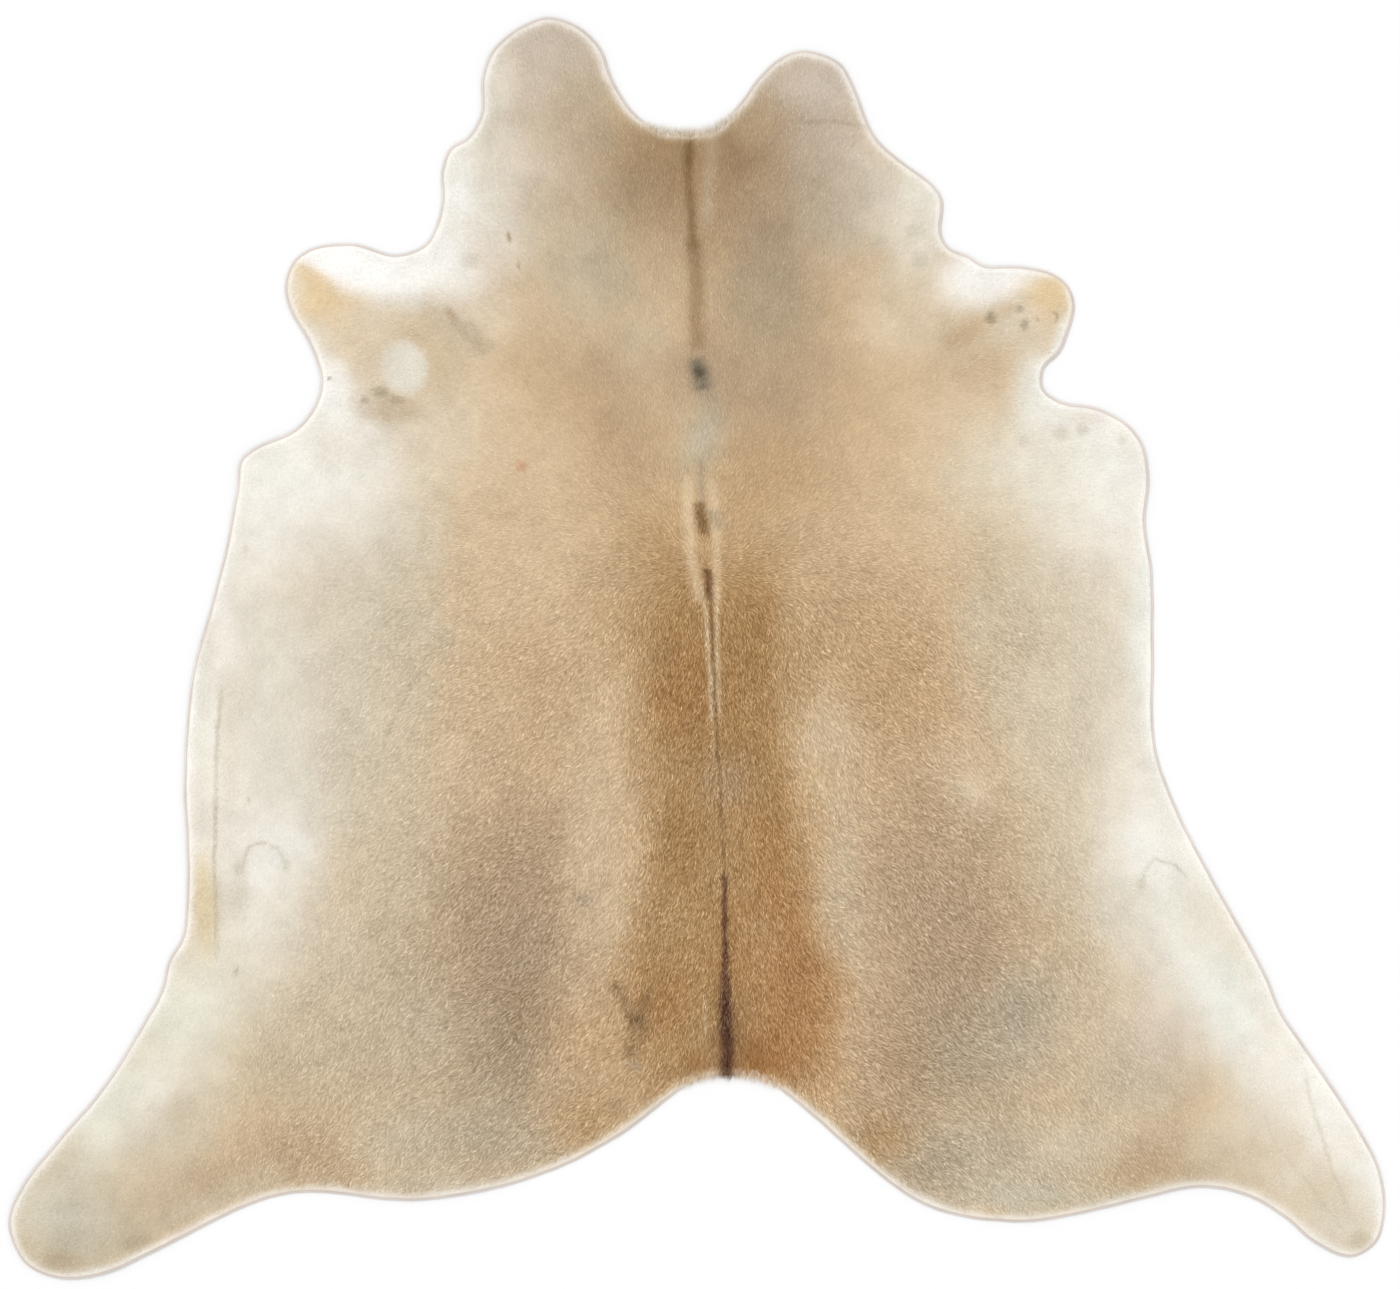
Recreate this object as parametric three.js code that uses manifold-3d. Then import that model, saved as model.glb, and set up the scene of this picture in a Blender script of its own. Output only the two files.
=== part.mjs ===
// A whole cowhide floor rug, hair side up, lying flat.
// It is one tanned skin with its hair, cut round along the animal's own outline:
// two neck lobes, cheeks, forelegs, flanks and hind legs, with a notch at the neck and one at the tail.
// Millimetres, +Z up, +Y towards the neck, +X to the right as seen from above, floor at z = 0.
import * as THREE from "three";
import { mergeVertices } from "three/addons/utils/BufferGeometryUtils.js";
import Module from "manifold-3d";

// Driving dimensions
const HIDE_THICKNESS = 5; // the tanned skin and the short hair lying on it
const RIM_WIDTH = 4; // strip along the cut edge where the hair gets thinner
const RIM_DROP = 2; // how far the top falls across that strip
const CURVE_STEPS = 4; // straight steps of the edge between two places of the tables
const FACE_PITCH = 62; // spacing of the faces where the hide lies flat
const FOLD_PITCH = 20; // spacing of the faces across a fold
const HIDE_COLOUR = 0xc9ac84;
const HIDE_ROUGHNESS = 0.85;

// The cut edge, clockwise as seen from above. Each row is a place that a smooth curve passes through:
// across is its distance to the right of the hide's middle, along its distance towards the neck.
const NECK_EDGE = [
  { place: "left lobe, tip", across: -253, along: 1072 },
  { place: "left lobe, inner shoulder", across: -197, along: 1053 },
  { place: "left lobe, inner side", across: -163, along: 1018 },
  { place: "left lobe, inner slope", across: -143, along: 966 },
  { place: "notch, left slope", across: -110, along: 914 },
  { place: "notch, left foot", across: -68, along: 883 },
  { place: "notch, middle", across: -19, along: 876 },
  { place: "notch, right foot", across: 30, along: 884 },
  { place: "notch, right slope", across: 70, along: 921 },
  { place: "right lobe, inner slope", across: 107, along: 971 },
  { place: "right lobe, inner shoulder", across: 143, along: 1003 },
  { place: "right lobe, tip", across: 182, along: 1015 },
  { place: "right lobe, outer shoulder", across: 243, along: 994 },
  { place: "right lobe, outer side", across: 266, along: 956 },
  { place: "right lobe, root", across: 303, along: 869 },
];

const RIGHT_CHEEK_EDGE = [
  { place: "slope", across: 345, along: 830 },
  { place: "corner", across: 398, along: 790 },
  { place: "point", across: 417, along: 762 },
  { place: "side", across: 416, along: 703 },
  { place: "hollow", across: 431, along: 679 },
  { place: "foot", across: 461, along: 667 },
];

const RIGHT_FORELEG_EDGE = [
  { place: "neck side, root", across: 489, along: 650 },
  { place: "neck side, middle", across: 548, along: 649 },
  { place: "neck side, end", across: 603, along: 637 },
  { place: "corner", across: 632, along: 614 },
  { place: "tip", across: 642, along: 581 },
  { place: "belly side, end", across: 631, along: 535 },
  { place: "belly side, middle", across: 616, along: 501 },
  { place: "armpit, neck side", across: 590, along: 475 },
  { place: "armpit, belly side", across: 590, along: 441 },
  { place: "armpit, foot", across: 620, along: 419 },
];

const RIGHT_FLANK_EDGE = [
  { place: "shoulder, start", across: 682, along: 407 },
  { place: "shoulder, round", across: 731, along: 381 },
  { place: "shoulder, side", across: 757, along: 347 },
  { place: "shoulder, end", across: 768, along: 288 },
  { place: "girth", across: 762, along: 214 },
  { place: "belly, front", across: 774, along: 130 },
  { place: "belly, middle", across: 776, along: 0 },
  { place: "belly, rear", across: 780, along: -165 },
  { place: "flank, hollow", across: 811, along: -262 },
];

const RIGHT_HIND_LEG_EDGE = [
  { place: "thigh", across: 867, along: -374 },
  { place: "thigh, end", across: 966, along: -553 },
  { place: "knee", across: 993, along: -617 },
  { place: "shank, start", across: 1027, along: -668 },
  { place: "shank, end", across: 1112, along: -795 },
  { place: "foot, outer side", across: 1158, along: -880 },
  { place: "foot, tip", across: 1170, along: -946 },
  { place: "foot, end", across: 1157, along: -1007 },
  { place: "foot, round", across: 1112, along: -1035 },
  { place: "foot, inner side", across: 1048, along: -1010 },
  { place: "shank, inner side", across: 1000, along: -969 },
  { place: "inner slope", across: 940, along: -933 },
  { place: "inner hollow", across: 855, along: -916 },
];

const RUMP_EDGE = [
  { place: "right buttock, outer side", across: 745, along: -939 },
  { place: "right buttock, outer round", across: 655, along: -960 },
  { place: "right buttock, lowest place", across: 560, along: -975 },
  { place: "right buttock, inner round", across: 432, along: -962 },
  { place: "right buttock, inner slope", across: 345, along: -922 },
  { place: "tail notch, right slope", across: 170, along: -773 },
  { place: "tail notch, right shoulder", across: 113, along: -735 },
  { place: "tail notch, middle", across: 52, along: -726 },
  { place: "tail notch, left shoulder", across: -2, along: -736 },
  { place: "tail notch, left slope", across: -131, along: -829 },
  { place: "left buttock, inner round", across: -238, along: -885 },
  { place: "left buttock, lowest stretch", across: -362, along: -923 },
  { place: "left buttock, lowest place", across: -496, along: -939 },
];

const LEFT_HIND_LEG_EDGE = [
  { place: "inner hollow", across: -655, along: -925 },
  { place: "inner slope", across: -739, along: -939 },
  { place: "shank, inner side", across: -930, along: -1030 },
  { place: "foot, inner side", across: -1003, along: -1062 },
  { place: "foot, lowest place", across: -1074, along: -1072 },
  { place: "foot, round", across: -1136, along: -1050 },
  { place: "foot, tip", across: -1169, along: -983 },
  { place: "foot, outer side", across: -1152, along: -924 },
  { place: "shank, outer side", across: -1091, along: -843 },
  { place: "shank, start", across: -1010, along: -748 },
  { place: "thigh, end", across: -937, along: -632 },
];

const LEFT_FLANK_EDGE = [
  { place: "thigh", across: -909, along: -580 },
  { place: "thigh, hollow", across: -897, along: -531 },
  { place: "flank, corner", across: -874, along: -490 },
  { place: "flank, side", across: -867, along: -425 },
  { place: "belly, hollow", across: -866, along: -340 },
  { place: "belly, rear", across: -871, along: -233 },
  { place: "belly, middle", across: -858, along: -54 },
  { place: "belly, front", across: -826, along: 68 },
  { place: "girth", across: -797, along: 184 },
  { place: "shoulder, end", across: -781, along: 275 },
  { place: "shoulder, side", across: -775, along: 318 },
  { place: "shoulder, round", across: -749, along: 341 },
];

const LEFT_FORELEG_EDGE = [
  { place: "armpit, foot", across: -683, along: 371 },
  { place: "armpit, belly side", across: -653, along: 406 },
  { place: "armpit, neck side", across: -639, along: 451 },
  { place: "belly side, middle", across: -653, along: 505 },
  { place: "belly side, end", across: -692, along: 576 },
  { place: "tip", across: -700, along: 614 },
  { place: "corner", across: -687, along: 655 },
  { place: "neck side, end", across: -655, along: 679 },
  { place: "neck side, middle", across: -583, along: 687 },
  { place: "neck side, root", across: -512, along: 669 },
];

const LEFT_CHEEK_EDGE = [
  { place: "foot", across: -464, along: 684 },
  { place: "hollow", across: -444, along: 715 },
  { place: "side", across: -433, along: 765 },
  { place: "point", across: -434, along: 808 },
  { place: "corner", across: -420, along: 848 },
  { place: "slope", across: -388, along: 869 },
  { place: "left lobe, root", across: -366, along: 910 },
  { place: "left lobe, outer side", across: -365, along: 966 },
  { place: "left lobe, outer shoulder", across: -347, along: 1014 },
  { place: "left lobe, outer round", across: -306, along: 1051 },
];

// Long low folds, each a ridge along a straight line, as high in its middle as height says
const FOLDS = [
  {
    name: "left flank fold",
    start: { across: -797, along: 116 },
    end: { across: -831, along: -513 },
    halfWidth: 34,
    height: 5,
  },
  {
    name: "right hind leg fold",
    start: { across: 1025, along: -700 },
    end: { across: 1110, along: -972 },
    halfWidth: 30,
    height: 4,
  },
];

// Round places where the skin stands a little off the floor
const SWELLS = [
  { name: "left neck lobe", across: -262, along: 985, radius: 150, height: 3 },
  { name: "right neck lobe", across: 190, along: 935, radius: 140, height: 2.5 },
  { name: "left shoulder", across: -680, along: 255, radius: 170, height: 3 },
  { name: "right shoulder", across: 672, along: 300, radius: 160, height: 3.5 },
  { name: "left hind foot", across: -1070, along: -975, radius: 180, height: 3 },
  { name: "right rump", across: 860, along: -800, radius: 200, height: 2.5 },
];

// A closed smooth curve through the places of the edge, as a flat outline centred on the hide's own box
function hideOutline() {
  const places = [
    ...NECK_EDGE,
    ...RIGHT_CHEEK_EDGE,
    ...RIGHT_FORELEG_EDGE,
    ...RIGHT_FLANK_EDGE,
    ...RIGHT_HIND_LEG_EDGE,
    ...RUMP_EDGE,
    ...LEFT_HIND_LEG_EDGE,
    ...LEFT_FLANK_EDGE,
    ...LEFT_FORELEG_EDGE,
    ...LEFT_CHEEK_EDGE,
  ];
  const knots = places.map(({ across, along }) => new THREE.Vector3(across, along, 0));
  const curve = new THREE.CatmullRomCurve3(knots, true, "centripetal");
  const points = curve.getPoints(places.length * CURVE_STEPS).slice(0, -1);
  const box = new THREE.Box3().setFromPoints(points);
  const middle = box.getCenter(new THREE.Vector3());
  const outline = points.map((point) => new THREE.Vector2(point.x - middle.x, point.y - middle.y));
  return { outline, size: box.getSize(new THREE.Vector3()) };
}

// One at the middle of a rise, falling smoothly to nothing at its rim
function softRise(share) {
  return share < 1 ? (1 + Math.cos(Math.PI * share)) / 2 : 0;
}

function foldHeight(fold, across, along) {
  const runAcross = fold.end.across - fold.start.across;
  const runAlong = fold.end.along - fold.start.along;
  const length = Math.hypot(runAcross, runAlong);
  const fromStart = { across: across - fold.start.across, along: along - fold.start.along };
  const share = (fromStart.across * runAcross + fromStart.along * runAlong) / length ** 2;
  const offset = Math.abs(fromStart.across * runAlong - fromStart.along * runAcross) / length;
  const fromMiddle = Math.abs(2 * share - 1);
  const fade = fromMiddle < 1 ? (1 - fromMiddle ** 4) ** 2 : 0;
  return fold.height * fade * softRise(offset / fold.halfWidth);
}

function swellHeight(swell, across, along) {
  const distance = Math.hypot(across - swell.across, along - swell.along);
  return swell.height * softRise(distance / swell.radius);
}

// How far the skin stands off the floor at a place
function lift(across, along) {
  const folds = FOLDS.reduce((sum, fold) => sum + foldHeight(fold, across, along), 0);
  return SWELLS.reduce((sum, swell) => sum + swellHeight(swell, across, along), folds);
}

// Positions of the lines between faces, closer together inside the bands that hold a fold
function faceLines(reach, bands) {
  const lines = [-reach];
  while (lines.at(-1) < reach) {
    const here = lines.at(-1);
    const inBand = bands.some((band) => here >= band.low && here < band.high);
    const nextBand = bands.filter((band) => band.low > here).map((band) => band.low);
    const step = inBand ? FOLD_PITCH : FACE_PITCH;
    lines.push(Math.min(reach, here + step, ...nextBand));
  }
  return lines;
}

// A flat slab of the hide's thickness, its top and bottom divided into faces that can bend
function slabGeometry(size) {
  const bands = FOLDS.map(({ start, end, halfWidth }) => ({
    low: Math.min(start.across, end.across) - halfWidth,
    high: Math.max(start.across, end.across) + halfWidth,
  }));
  const columns = faceLines(size.x / 2 + FACE_PITCH, bands);
  const rows = faceLines(size.y / 2 + FACE_PITCH, []);
  const columnSteps = columns.length - 1;
  const rowSteps = rows.length - 1;
  const slab = new THREE.BoxGeometry(columnSteps, rowSteps, HIDE_THICKNESS, columnSteps, rowSteps, 1);
  const position = slab.attributes.position;
  for (let i = 0; i < position.count; i += 1) {
    const column = Math.round(position.getX(i) + columnSteps / 2);
    const row = Math.round(position.getY(i) + rowSteps / 2);
    position.setXY(i, columns[column], rows[row]);
  }
  return slab.translate(0, 0, HIDE_THICKNESS / 2);
}

// A block with the hide's outline whose top edge slopes, so that it cuts the slab with a thinner rim
function outlineGeometry(outline) {
  const slopeHeight = 2 * RIM_DROP;
  const slopeWidth = 2 * RIM_WIDTH;
  const depth = 2 * HIDE_THICKNESS;
  const block = new THREE.ExtrudeGeometry(new THREE.Shape(outline), {
    depth,
    bevelThickness: slopeHeight,
    bevelSize: slopeWidth,
    bevelOffset: -slopeWidth,
    bevelSegments: 1,
  });
  return block.translate(0, 0, HIDE_THICKNESS - RIM_DROP - depth);
}

function toSolid(wasm, geometry) {
  const bare = geometry.clone();
  bare.deleteAttribute("normal");
  bare.deleteAttribute("uv");
  const merged = mergeVertices(bare);
  const mesh = new wasm.Mesh({
    numProp: 3,
    vertProperties: new Float32Array(merged.attributes.position.array),
    triVerts: new Uint32Array(merged.index.array),
  });
  return new wasm.Manifold(mesh);
}

function toGeometry(solid) {
  const { vertProperties, triVerts } = solid.getMesh();
  const geometry = new THREE.BufferGeometry();
  geometry.setAttribute("position", new THREE.BufferAttribute(vertProperties, 3));
  geometry.setIndex(new THREE.BufferAttribute(triVerts, 1));
  return geometry;
}

function raiseSkin(geometry) {
  const position = geometry.attributes.position;
  for (let i = 0; i < position.count; i += 1) {
    position.setZ(i, position.getZ(i) + lift(position.getX(i), position.getY(i)));
  }
  geometry.computeVertexNormals();
  return geometry;
}

function makeHide(wasm) {
  const { outline, size } = hideOutline();
  const slab = toSolid(wasm, slabGeometry(size));
  const block = toSolid(wasm, outlineGeometry(outline));
  const hide = new THREE.Mesh(
    raiseSkin(toGeometry(slab.intersect(block))),
    new THREE.MeshStandardMaterial({ color: HIDE_COLOUR, roughness: HIDE_ROUGHNESS, metalness: 0 }),
  );
  hide.name = "hide";
  return hide;
}

const wasm = await Module();
wasm.setup();

const rug = new THREE.Group();
rug.add(makeHide(wasm));

export default rug;
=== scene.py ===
import math
from collections import namedtuple

import bpy
import numpy as np
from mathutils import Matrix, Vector
from mathutils.bvhtree import BVHTree
from mathutils.geometry import delaunay_2d_cdt


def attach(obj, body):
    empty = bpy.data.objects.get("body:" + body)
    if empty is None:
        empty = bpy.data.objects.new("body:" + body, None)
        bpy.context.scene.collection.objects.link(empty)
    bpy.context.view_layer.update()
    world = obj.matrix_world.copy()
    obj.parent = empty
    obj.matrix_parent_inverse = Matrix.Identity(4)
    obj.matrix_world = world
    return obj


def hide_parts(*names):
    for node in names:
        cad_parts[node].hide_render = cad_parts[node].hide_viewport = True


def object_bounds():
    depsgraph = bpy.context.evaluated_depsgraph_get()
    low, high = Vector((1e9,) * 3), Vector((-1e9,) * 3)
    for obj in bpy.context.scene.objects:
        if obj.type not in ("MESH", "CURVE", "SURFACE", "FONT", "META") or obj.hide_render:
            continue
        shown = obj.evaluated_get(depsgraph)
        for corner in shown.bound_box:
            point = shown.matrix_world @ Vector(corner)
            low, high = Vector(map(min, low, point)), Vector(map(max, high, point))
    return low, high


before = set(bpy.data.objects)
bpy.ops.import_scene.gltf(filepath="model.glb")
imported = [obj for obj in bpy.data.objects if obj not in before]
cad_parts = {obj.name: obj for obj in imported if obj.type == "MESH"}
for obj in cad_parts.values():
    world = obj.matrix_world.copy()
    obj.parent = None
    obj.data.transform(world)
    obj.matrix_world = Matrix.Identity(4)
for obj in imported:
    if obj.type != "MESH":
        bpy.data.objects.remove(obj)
CAD_LOW, CAD_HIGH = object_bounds()

MM = 0.001  # metres in a millimetre
PHOTO_WIDTH_PX, PHOTO_HEIGHT_PX = 1400, 1289
ORIGIN_PX = (697, 648)  # where the frame's origin lies in the photo
MM_PER_PX = 1.7

# Sizes of the skin and its hair
SKIN_THICKNESS = 2.4
COAT_DEPTH = 1.5  # from the leather to the dense coat's surface
RIM_STEP = 6.0  # spacing of places along the cut edge
SKIN_PITCH = 24.0
COAT_PITCH = 7.4
FULL_HAIR_PITCH = 2.06
HAIR_PITCH = FULL_HAIR_PITCH
HAIR_LENGTH = 7.8
HAIR_WIDTH = 1.1
CLUMP_PITCH = 3.8

# Tones of the hair, in sRGB
TONES = {
    "white": (254, 248, 240),
    "ivory": (249, 243, 233),
    "cream": (242, 235, 222),
    "bone": (227, 217, 199),
    "milk": (234, 230, 217),
    "oat": (231, 224, 204),
    "beige": (216, 202, 180),
    "shell": (212, 194, 174),
    "wheat": (226, 208, 183),
    "biscuit": (218, 192, 159),
    "greige": (202, 186, 163),
    "dove": (193, 177, 156),
    "sand": (209, 186, 156),
    "tan": (205, 177, 143),
    "fawn": (194, 163, 127),
    "rosy": (208, 156, 126),
    "caramel": (182, 150, 111),
    "amber": (170, 132, 88),
    "honey": (167, 122, 77),
    "umber": (130, 101, 68),
    "cocoa": (92, 60, 40),
    "taupe": (178, 154, 128),
    "ash": (225, 215, 197),
    "smoke": (168, 152, 131),
    "slate": (120, 110, 96),
    "soot": (84, 76, 62),
    "mauve": (201, 185, 169),
    "silver": (198, 187, 167),
    "apricot": (225, 198, 158),
    "straw": (220, 201, 166),
}

# Soft patches of colour, by part of the hide. Later ones lie over earlier ones, so a part can come up again.
# A patch is an ellipse about a place. Its reach is where it has half its amount, and turn is how many
# degrees its along axis leans, top to the left.
Patch = namedtuple("Patch", "across along reach_across reach_along tone amount turn", defaults=[0])


def patches(*areas):
    """All patches of the areas, in order."""
    return [Patch(*row) for area in areas for rows in area.values() for row in rows]


NECK_PATCHES = {
    "left lobe": [
        (-250, 1000, 110, 110, "mauve", 1.0),
        (-350, 960, 35, 110, "bone", 0.9),
        (-190, 905, 65, 80, "dove", 0.9, 10),
    ],
    "left neck": [(-270, 820, 90, 120, "shell", 0.95)],
    "left cheek": [(-425, 800, 75, 120, "cream", 1.0), (-400, 730, 65, 80, "cream", 0.9)],
    "left throat": [(-335, 740, 60, 80, "bone", 0.8), (-365, 650, 50, 40, "shell", 0.7)],
    "left of the spine": [
        (-75, 830, 85, 90, "umber", 0.45),
        (-115, 740, 65, 75, "taupe", 1.0),
        (-110, 750, 50, 60, "umber", 0.25),
    ],
    "left mid neck": [(-180, 650, 80, 110, "greige", 0.8)],
    "right lobe": [
        (200, 950, 100, 90, "mauve", 1.0),
        (155, 840, 62, 58, "taupe", 1.0),
        (100, 900, 45, 55, "taupe", 0.45, -20),
    ],
    "right neck": [(235, 790, 85, 100, "mauve", 0.95), (220, 735, 60, 60, "dove", 0.6)],
    "right cheek": [(370, 760, 65, 80, "bone", 1.0), (385, 700, 60, 45, "bone", 0.65)],
    "right of the spine": [(85, 832, 52, 75, "umber", 0.55), (110, 720, 75, 90, "taupe", 1.0)],
    "right mid neck": [(112, 590, 72, 110, "smoke", 0.65)],
    "right throat": [(330, 640, 50, 60, "bone", 0.25)],
    "beside the neck line": [(5, 760, 75, 75, "umber", 0.25)],
    "left neck, dark": [(-215, 890, 55, 60, "taupe", 0.45), (-150, 650, 45, 50, "smoke", 0.35)],
    "right neck, pale": [(290, 790, 35, 60, "bone", 0.4)],
    "left neck, low": [(-235, 765, 60, 50, "taupe", 0.35)],
    "right neck, low": [(240, 750, 60, 40, "dove", 0.3)],
    "mid neck, grey": [(-40, 640, 50, 60, "smoke", 0.2)],
    "left cheek, pale": [(-402, 762, 28, 32, "ivory", 0.6)],
    "left of the mid line": [(-100, 700, 36, 52, "tan", 0.35)],
    "right neck, middle": [(215, 790, 70, 45, "taupe", 0.3)],
    "left side of the notch": [(-145, 930, 24, 40, "tan", 0.35)],
    "right side of the notch": [(95, 882, 40, 32, "sand", 0.35)],
    "left cheek, upper": [(-350, 870, 35, 75, "silver", 0.4)],
    "right cheek, grey": [(370, 645, 45, 40, "bone", 0.4)],
}

FORELEG_PATCHES = {
    "left foreleg": [
        (-545, 640, 140, 55, "white", 1.0, -22),
        (-450, 640, 75, 50, "cream", 0.85),
        (-570, 550, 100, 50, "wheat", 0.85, -20),
        (-636, 598, 66, 46, "apricot", 1.0, -30),
        (-655, 478, 36, 62, "cream", 1.0),
    ],
    "left elbow": [(-570, 500, 50, 50, "wheat", 0.5), (-545, 418, 50, 30, "fawn", 0.75)],
    "left forearm shade": [(-420, 545, 60, 50, "dove", 0.6)],
    "left armpit": [(-620, 390, 80, 65, "cream", 1.0)],
    "left chest": [(-440, 420, 90, 80, "wheat", 0.7)],
    "right foreleg": [(555, 540, 65, 65, "wheat", 0.75, -15)],
    "right forearm shade": [(440, 520, 70, 60, "greige", 0.5)],
    "right elbow": [(475, 455, 50, 50, "fawn", 0.45), (580, 455, 28, 45, "bone", 0.8)],
    "right armpit": [(600, 410, 55, 50, "milk", 1.0)],
    "right foreleg, tip": [(596, 592, 42, 46, "apricot", 0.95, 20), (622, 515, 14, 30, "milk", 0.7)],
    "right forearm, pale": [(345, 550, 70, 50, "wheat", 0.6)],
    "left forearm, pale": [(-335, 560, 55, 45, "wheat", 0.6)],
    "left chest, brown": [(-452, 478, 45, 62, "sand", 0.7)],
    "left forearm": [(-570, 522, 30, 14, "sand", 0.4), (-480, 577, 45, 16, "bone", 0.35)],
    "right forearm, grey": [(522, 558, 42, 34, "bone", 0.45)],
}

FLANK_PATCHES = {
    "left flank": [(-620, -90, 150, 330, "beige", 0.95), (-560, 130, 120, 130, "beige", 0.85)],
    "left tan, outer": [(-480, 30, 50, 70, "greige", 0.6)],
    "left fawn cloud": [(-285, -40, 70, 70, "fawn", 0.45)],
    "left flank, outer": [(-740, -60, 75, 330, "bone", 0.95, 2)],
    "left belly edge": [(-855, -60, 45, 340, "cream", 1.0, 3)],
    "left belly": [(-755, -400, 70, 170, "cream", 0.75, 5), (-690, -290, 60, 120, "bone", 0.8)],
    "right flank": [(610, -60, 115, 330, "beige", 0.8), (710, -20, 65, 260, "bone", 0.6)],
    "right belly edge": [(780, 20, 45, 270, "milk", 0.95)],
    "right belly": [(800, -370, 85, 170, "cream", 1.0, 12), (738, -425, 78, 150, "bone", 0.85, 10)],
    "right fawn cloud": [(345, -80, 85, 90, "fawn", 0.95)],
    "right tan, outer": [(500, 80, 60, 90, "greige", 0.5)],
    "right fawn cloud, inner": [(250, 30, 80, 90, "fawn", 0.75)],
    "right pale cloud": [(215, -130, 40, 60, "sand", 0.8)],
    "right flank, dull": [(540, 95, 50, 60, "greige", 0.85)],
    "left flank, dull": [(-590, -200, 40, 60, "greige", 0.6), (-700, 160, 60, 60, "wheat", 0.5)],
    "left belly, white": [(-705, -335, 45, 60, "cream", 0.7), (-780, -412, 25, 30, "silver", 0.45)],
    "left ribs": [
        (-430, -240, 60, 60, "biscuit", 0.6),
        (-350, -85, 50, 50, "biscuit", 0.45),
        (-130, -240, 45, 70, "biscuit", 0.5),
    ],
    "right ribs, pale": [(460, -215, 45, 55, "biscuit", 0.85)],
    "right pale cloud, inner": [(185, -85, 25, 40, "biscuit", 0.5)],
    "left flank, pale": [(-765, 150, 50, 60, "ivory", 0.15), (-805, 55, 25, 80, "ivory", 0.5)],
    "left ribs, upper": [(-500, 180, 42, 60, "greige", 0.5)],
    "right ribs": [(515, 130, 42, 95, "sand", 0.5), (640, -280, 45, 70, "greige", 0.3)],
    "left ribs, grey": [(-470, -230, 45, 100, "beige", 0.3)],
    "right ribs, middle": [(462, -258, 40, 52, "wheat", 0.4)],
    "left thigh, front": [(-650, -525, 85, 65, "bone", 0.3)],
}

SHOULDER_PATCHES = {
    "left shoulder": [(-690, 290, 150, 100, "cream", 1.0), (-560, 320, 90, 80, "cream", 0.75)],
    "left breast": [(-450, 290, 75, 130, "beige", 0.5)],
    "left ribs": [(-290, 270, 110, 160, "biscuit", 0.6)],
    "left shoulder, lower": [(-750, 180, 80, 80, "cream", 0.6)],
    "left withers": [(-160, 370, 80, 90, "fawn", 0.6), (-155, 460, 70, 80, "taupe", 0.4)],
    "left of the whorl": [(-90, 510, 50, 60, "greige", 0.5)],
    "whorl": [(10, 365, 34, 72, "silver", 0.9)],
    "right withers": [(140, 430, 70, 90, "taupe", 0.7), (120, 300, 80, 80, "fawn", 0.8)],
    "right shoulder": [(685, 315, 125, 100, "cream", 1.0), (585, 330, 75, 80, "bone", 0.75)],
    "right breast": [(460, 330, 65, 120, "wheat", 0.7)],
    "right ribs": [(370, 260, 80, 130, "biscuit", 0.4)],
    "right shoulder, lower": [(690, 200, 82, 75, "cream", 0.7)],
    "left armpit, dull": [(-600, 330, 50, 40, "bone", 0.7)],
    "left withers, pale": [(-225, 330, 50, 60, "biscuit", 0.7), (-105, 350, 45, 80, "taupe", 0.3)],
    "left breast, pale": [(-420, 320, 80, 60, "wheat", 0.35)],
    "right breast, pale": [(520, 310, 60, 70, "oat", 0.4)],
    "right shoulder, top": [(700, 385, 40, 25, "ivory", 0.6)],
    "right of the slit": [(85, 245, 30, 40, "fawn", 0.4)],
    "left shoulder, low": [(-300, 95, 85, 85, "biscuit", 0.45), (-400, 385, 70, 80, "wheat", 0.3)],
    "right shoulder, high": [(352, 440, 50, 52, "biscuit", 0.35), (590, 250, 60, 80, "oat", 0.3)],
    "about the tuft": [(15, 460, 55, 55, "taupe", 0.8)],
}

BACK_PATCHES = {
    "left band": [
        (-65, 50, 68, 130, "amber", 0.8),
        (-28, -100, 45, 120, "amber", 1.0),
        (-30, -310, 50, 170, "amber", 0.95),
        (-45, -580, 75, 190, "amber", 0.9),
    ],
    "between the bands": [(15, -20, 50, 160, "amber", 0.9), (45, -400, 45, 300, "amber", 0.95)],
    "right band": [
        (95, 30, 50, 112, "amber", 0.95),
        (165, -20, 35, 70, "caramel", 0.7),
        (88, -150, 50, 150, "amber", 0.9, 3),
        (115, -350, 52, 150, "amber", 0.95, 3),
        (150, -590, 80, 170, "honey", 0.8, 5),
    ],
    "orange above the tail": [(108, -685, 52, 45, "honey", 1.0)],
    "tail root": [(50, -650, 32, 65, "umber", 0.3)],
    "grey on the back": [(40, -235, 50, 45, "taupe", 0.5)],
    "left band, pale": [
        (-72, -190, 32, 60, "fawn", 0.5),
        (-148, -80, 52, 50, "biscuit", 0.4),
        (-130, 125, 55, 80, "tan", 0.45),
        (-40, -470, 45, 60, "fawn", 0.3),
        (-60, -600, 36, 46, "honey", 0.4),
    ],
    "right band, low": [(100, -490, 26, 40, "fawn", 0.3)],
    "right ribs, low": [(600, -400, 45, 60, "dove", 0.35)],
    "right loin": [(300, -400, 42, 52, "taupe", 0.35)],
}

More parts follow.
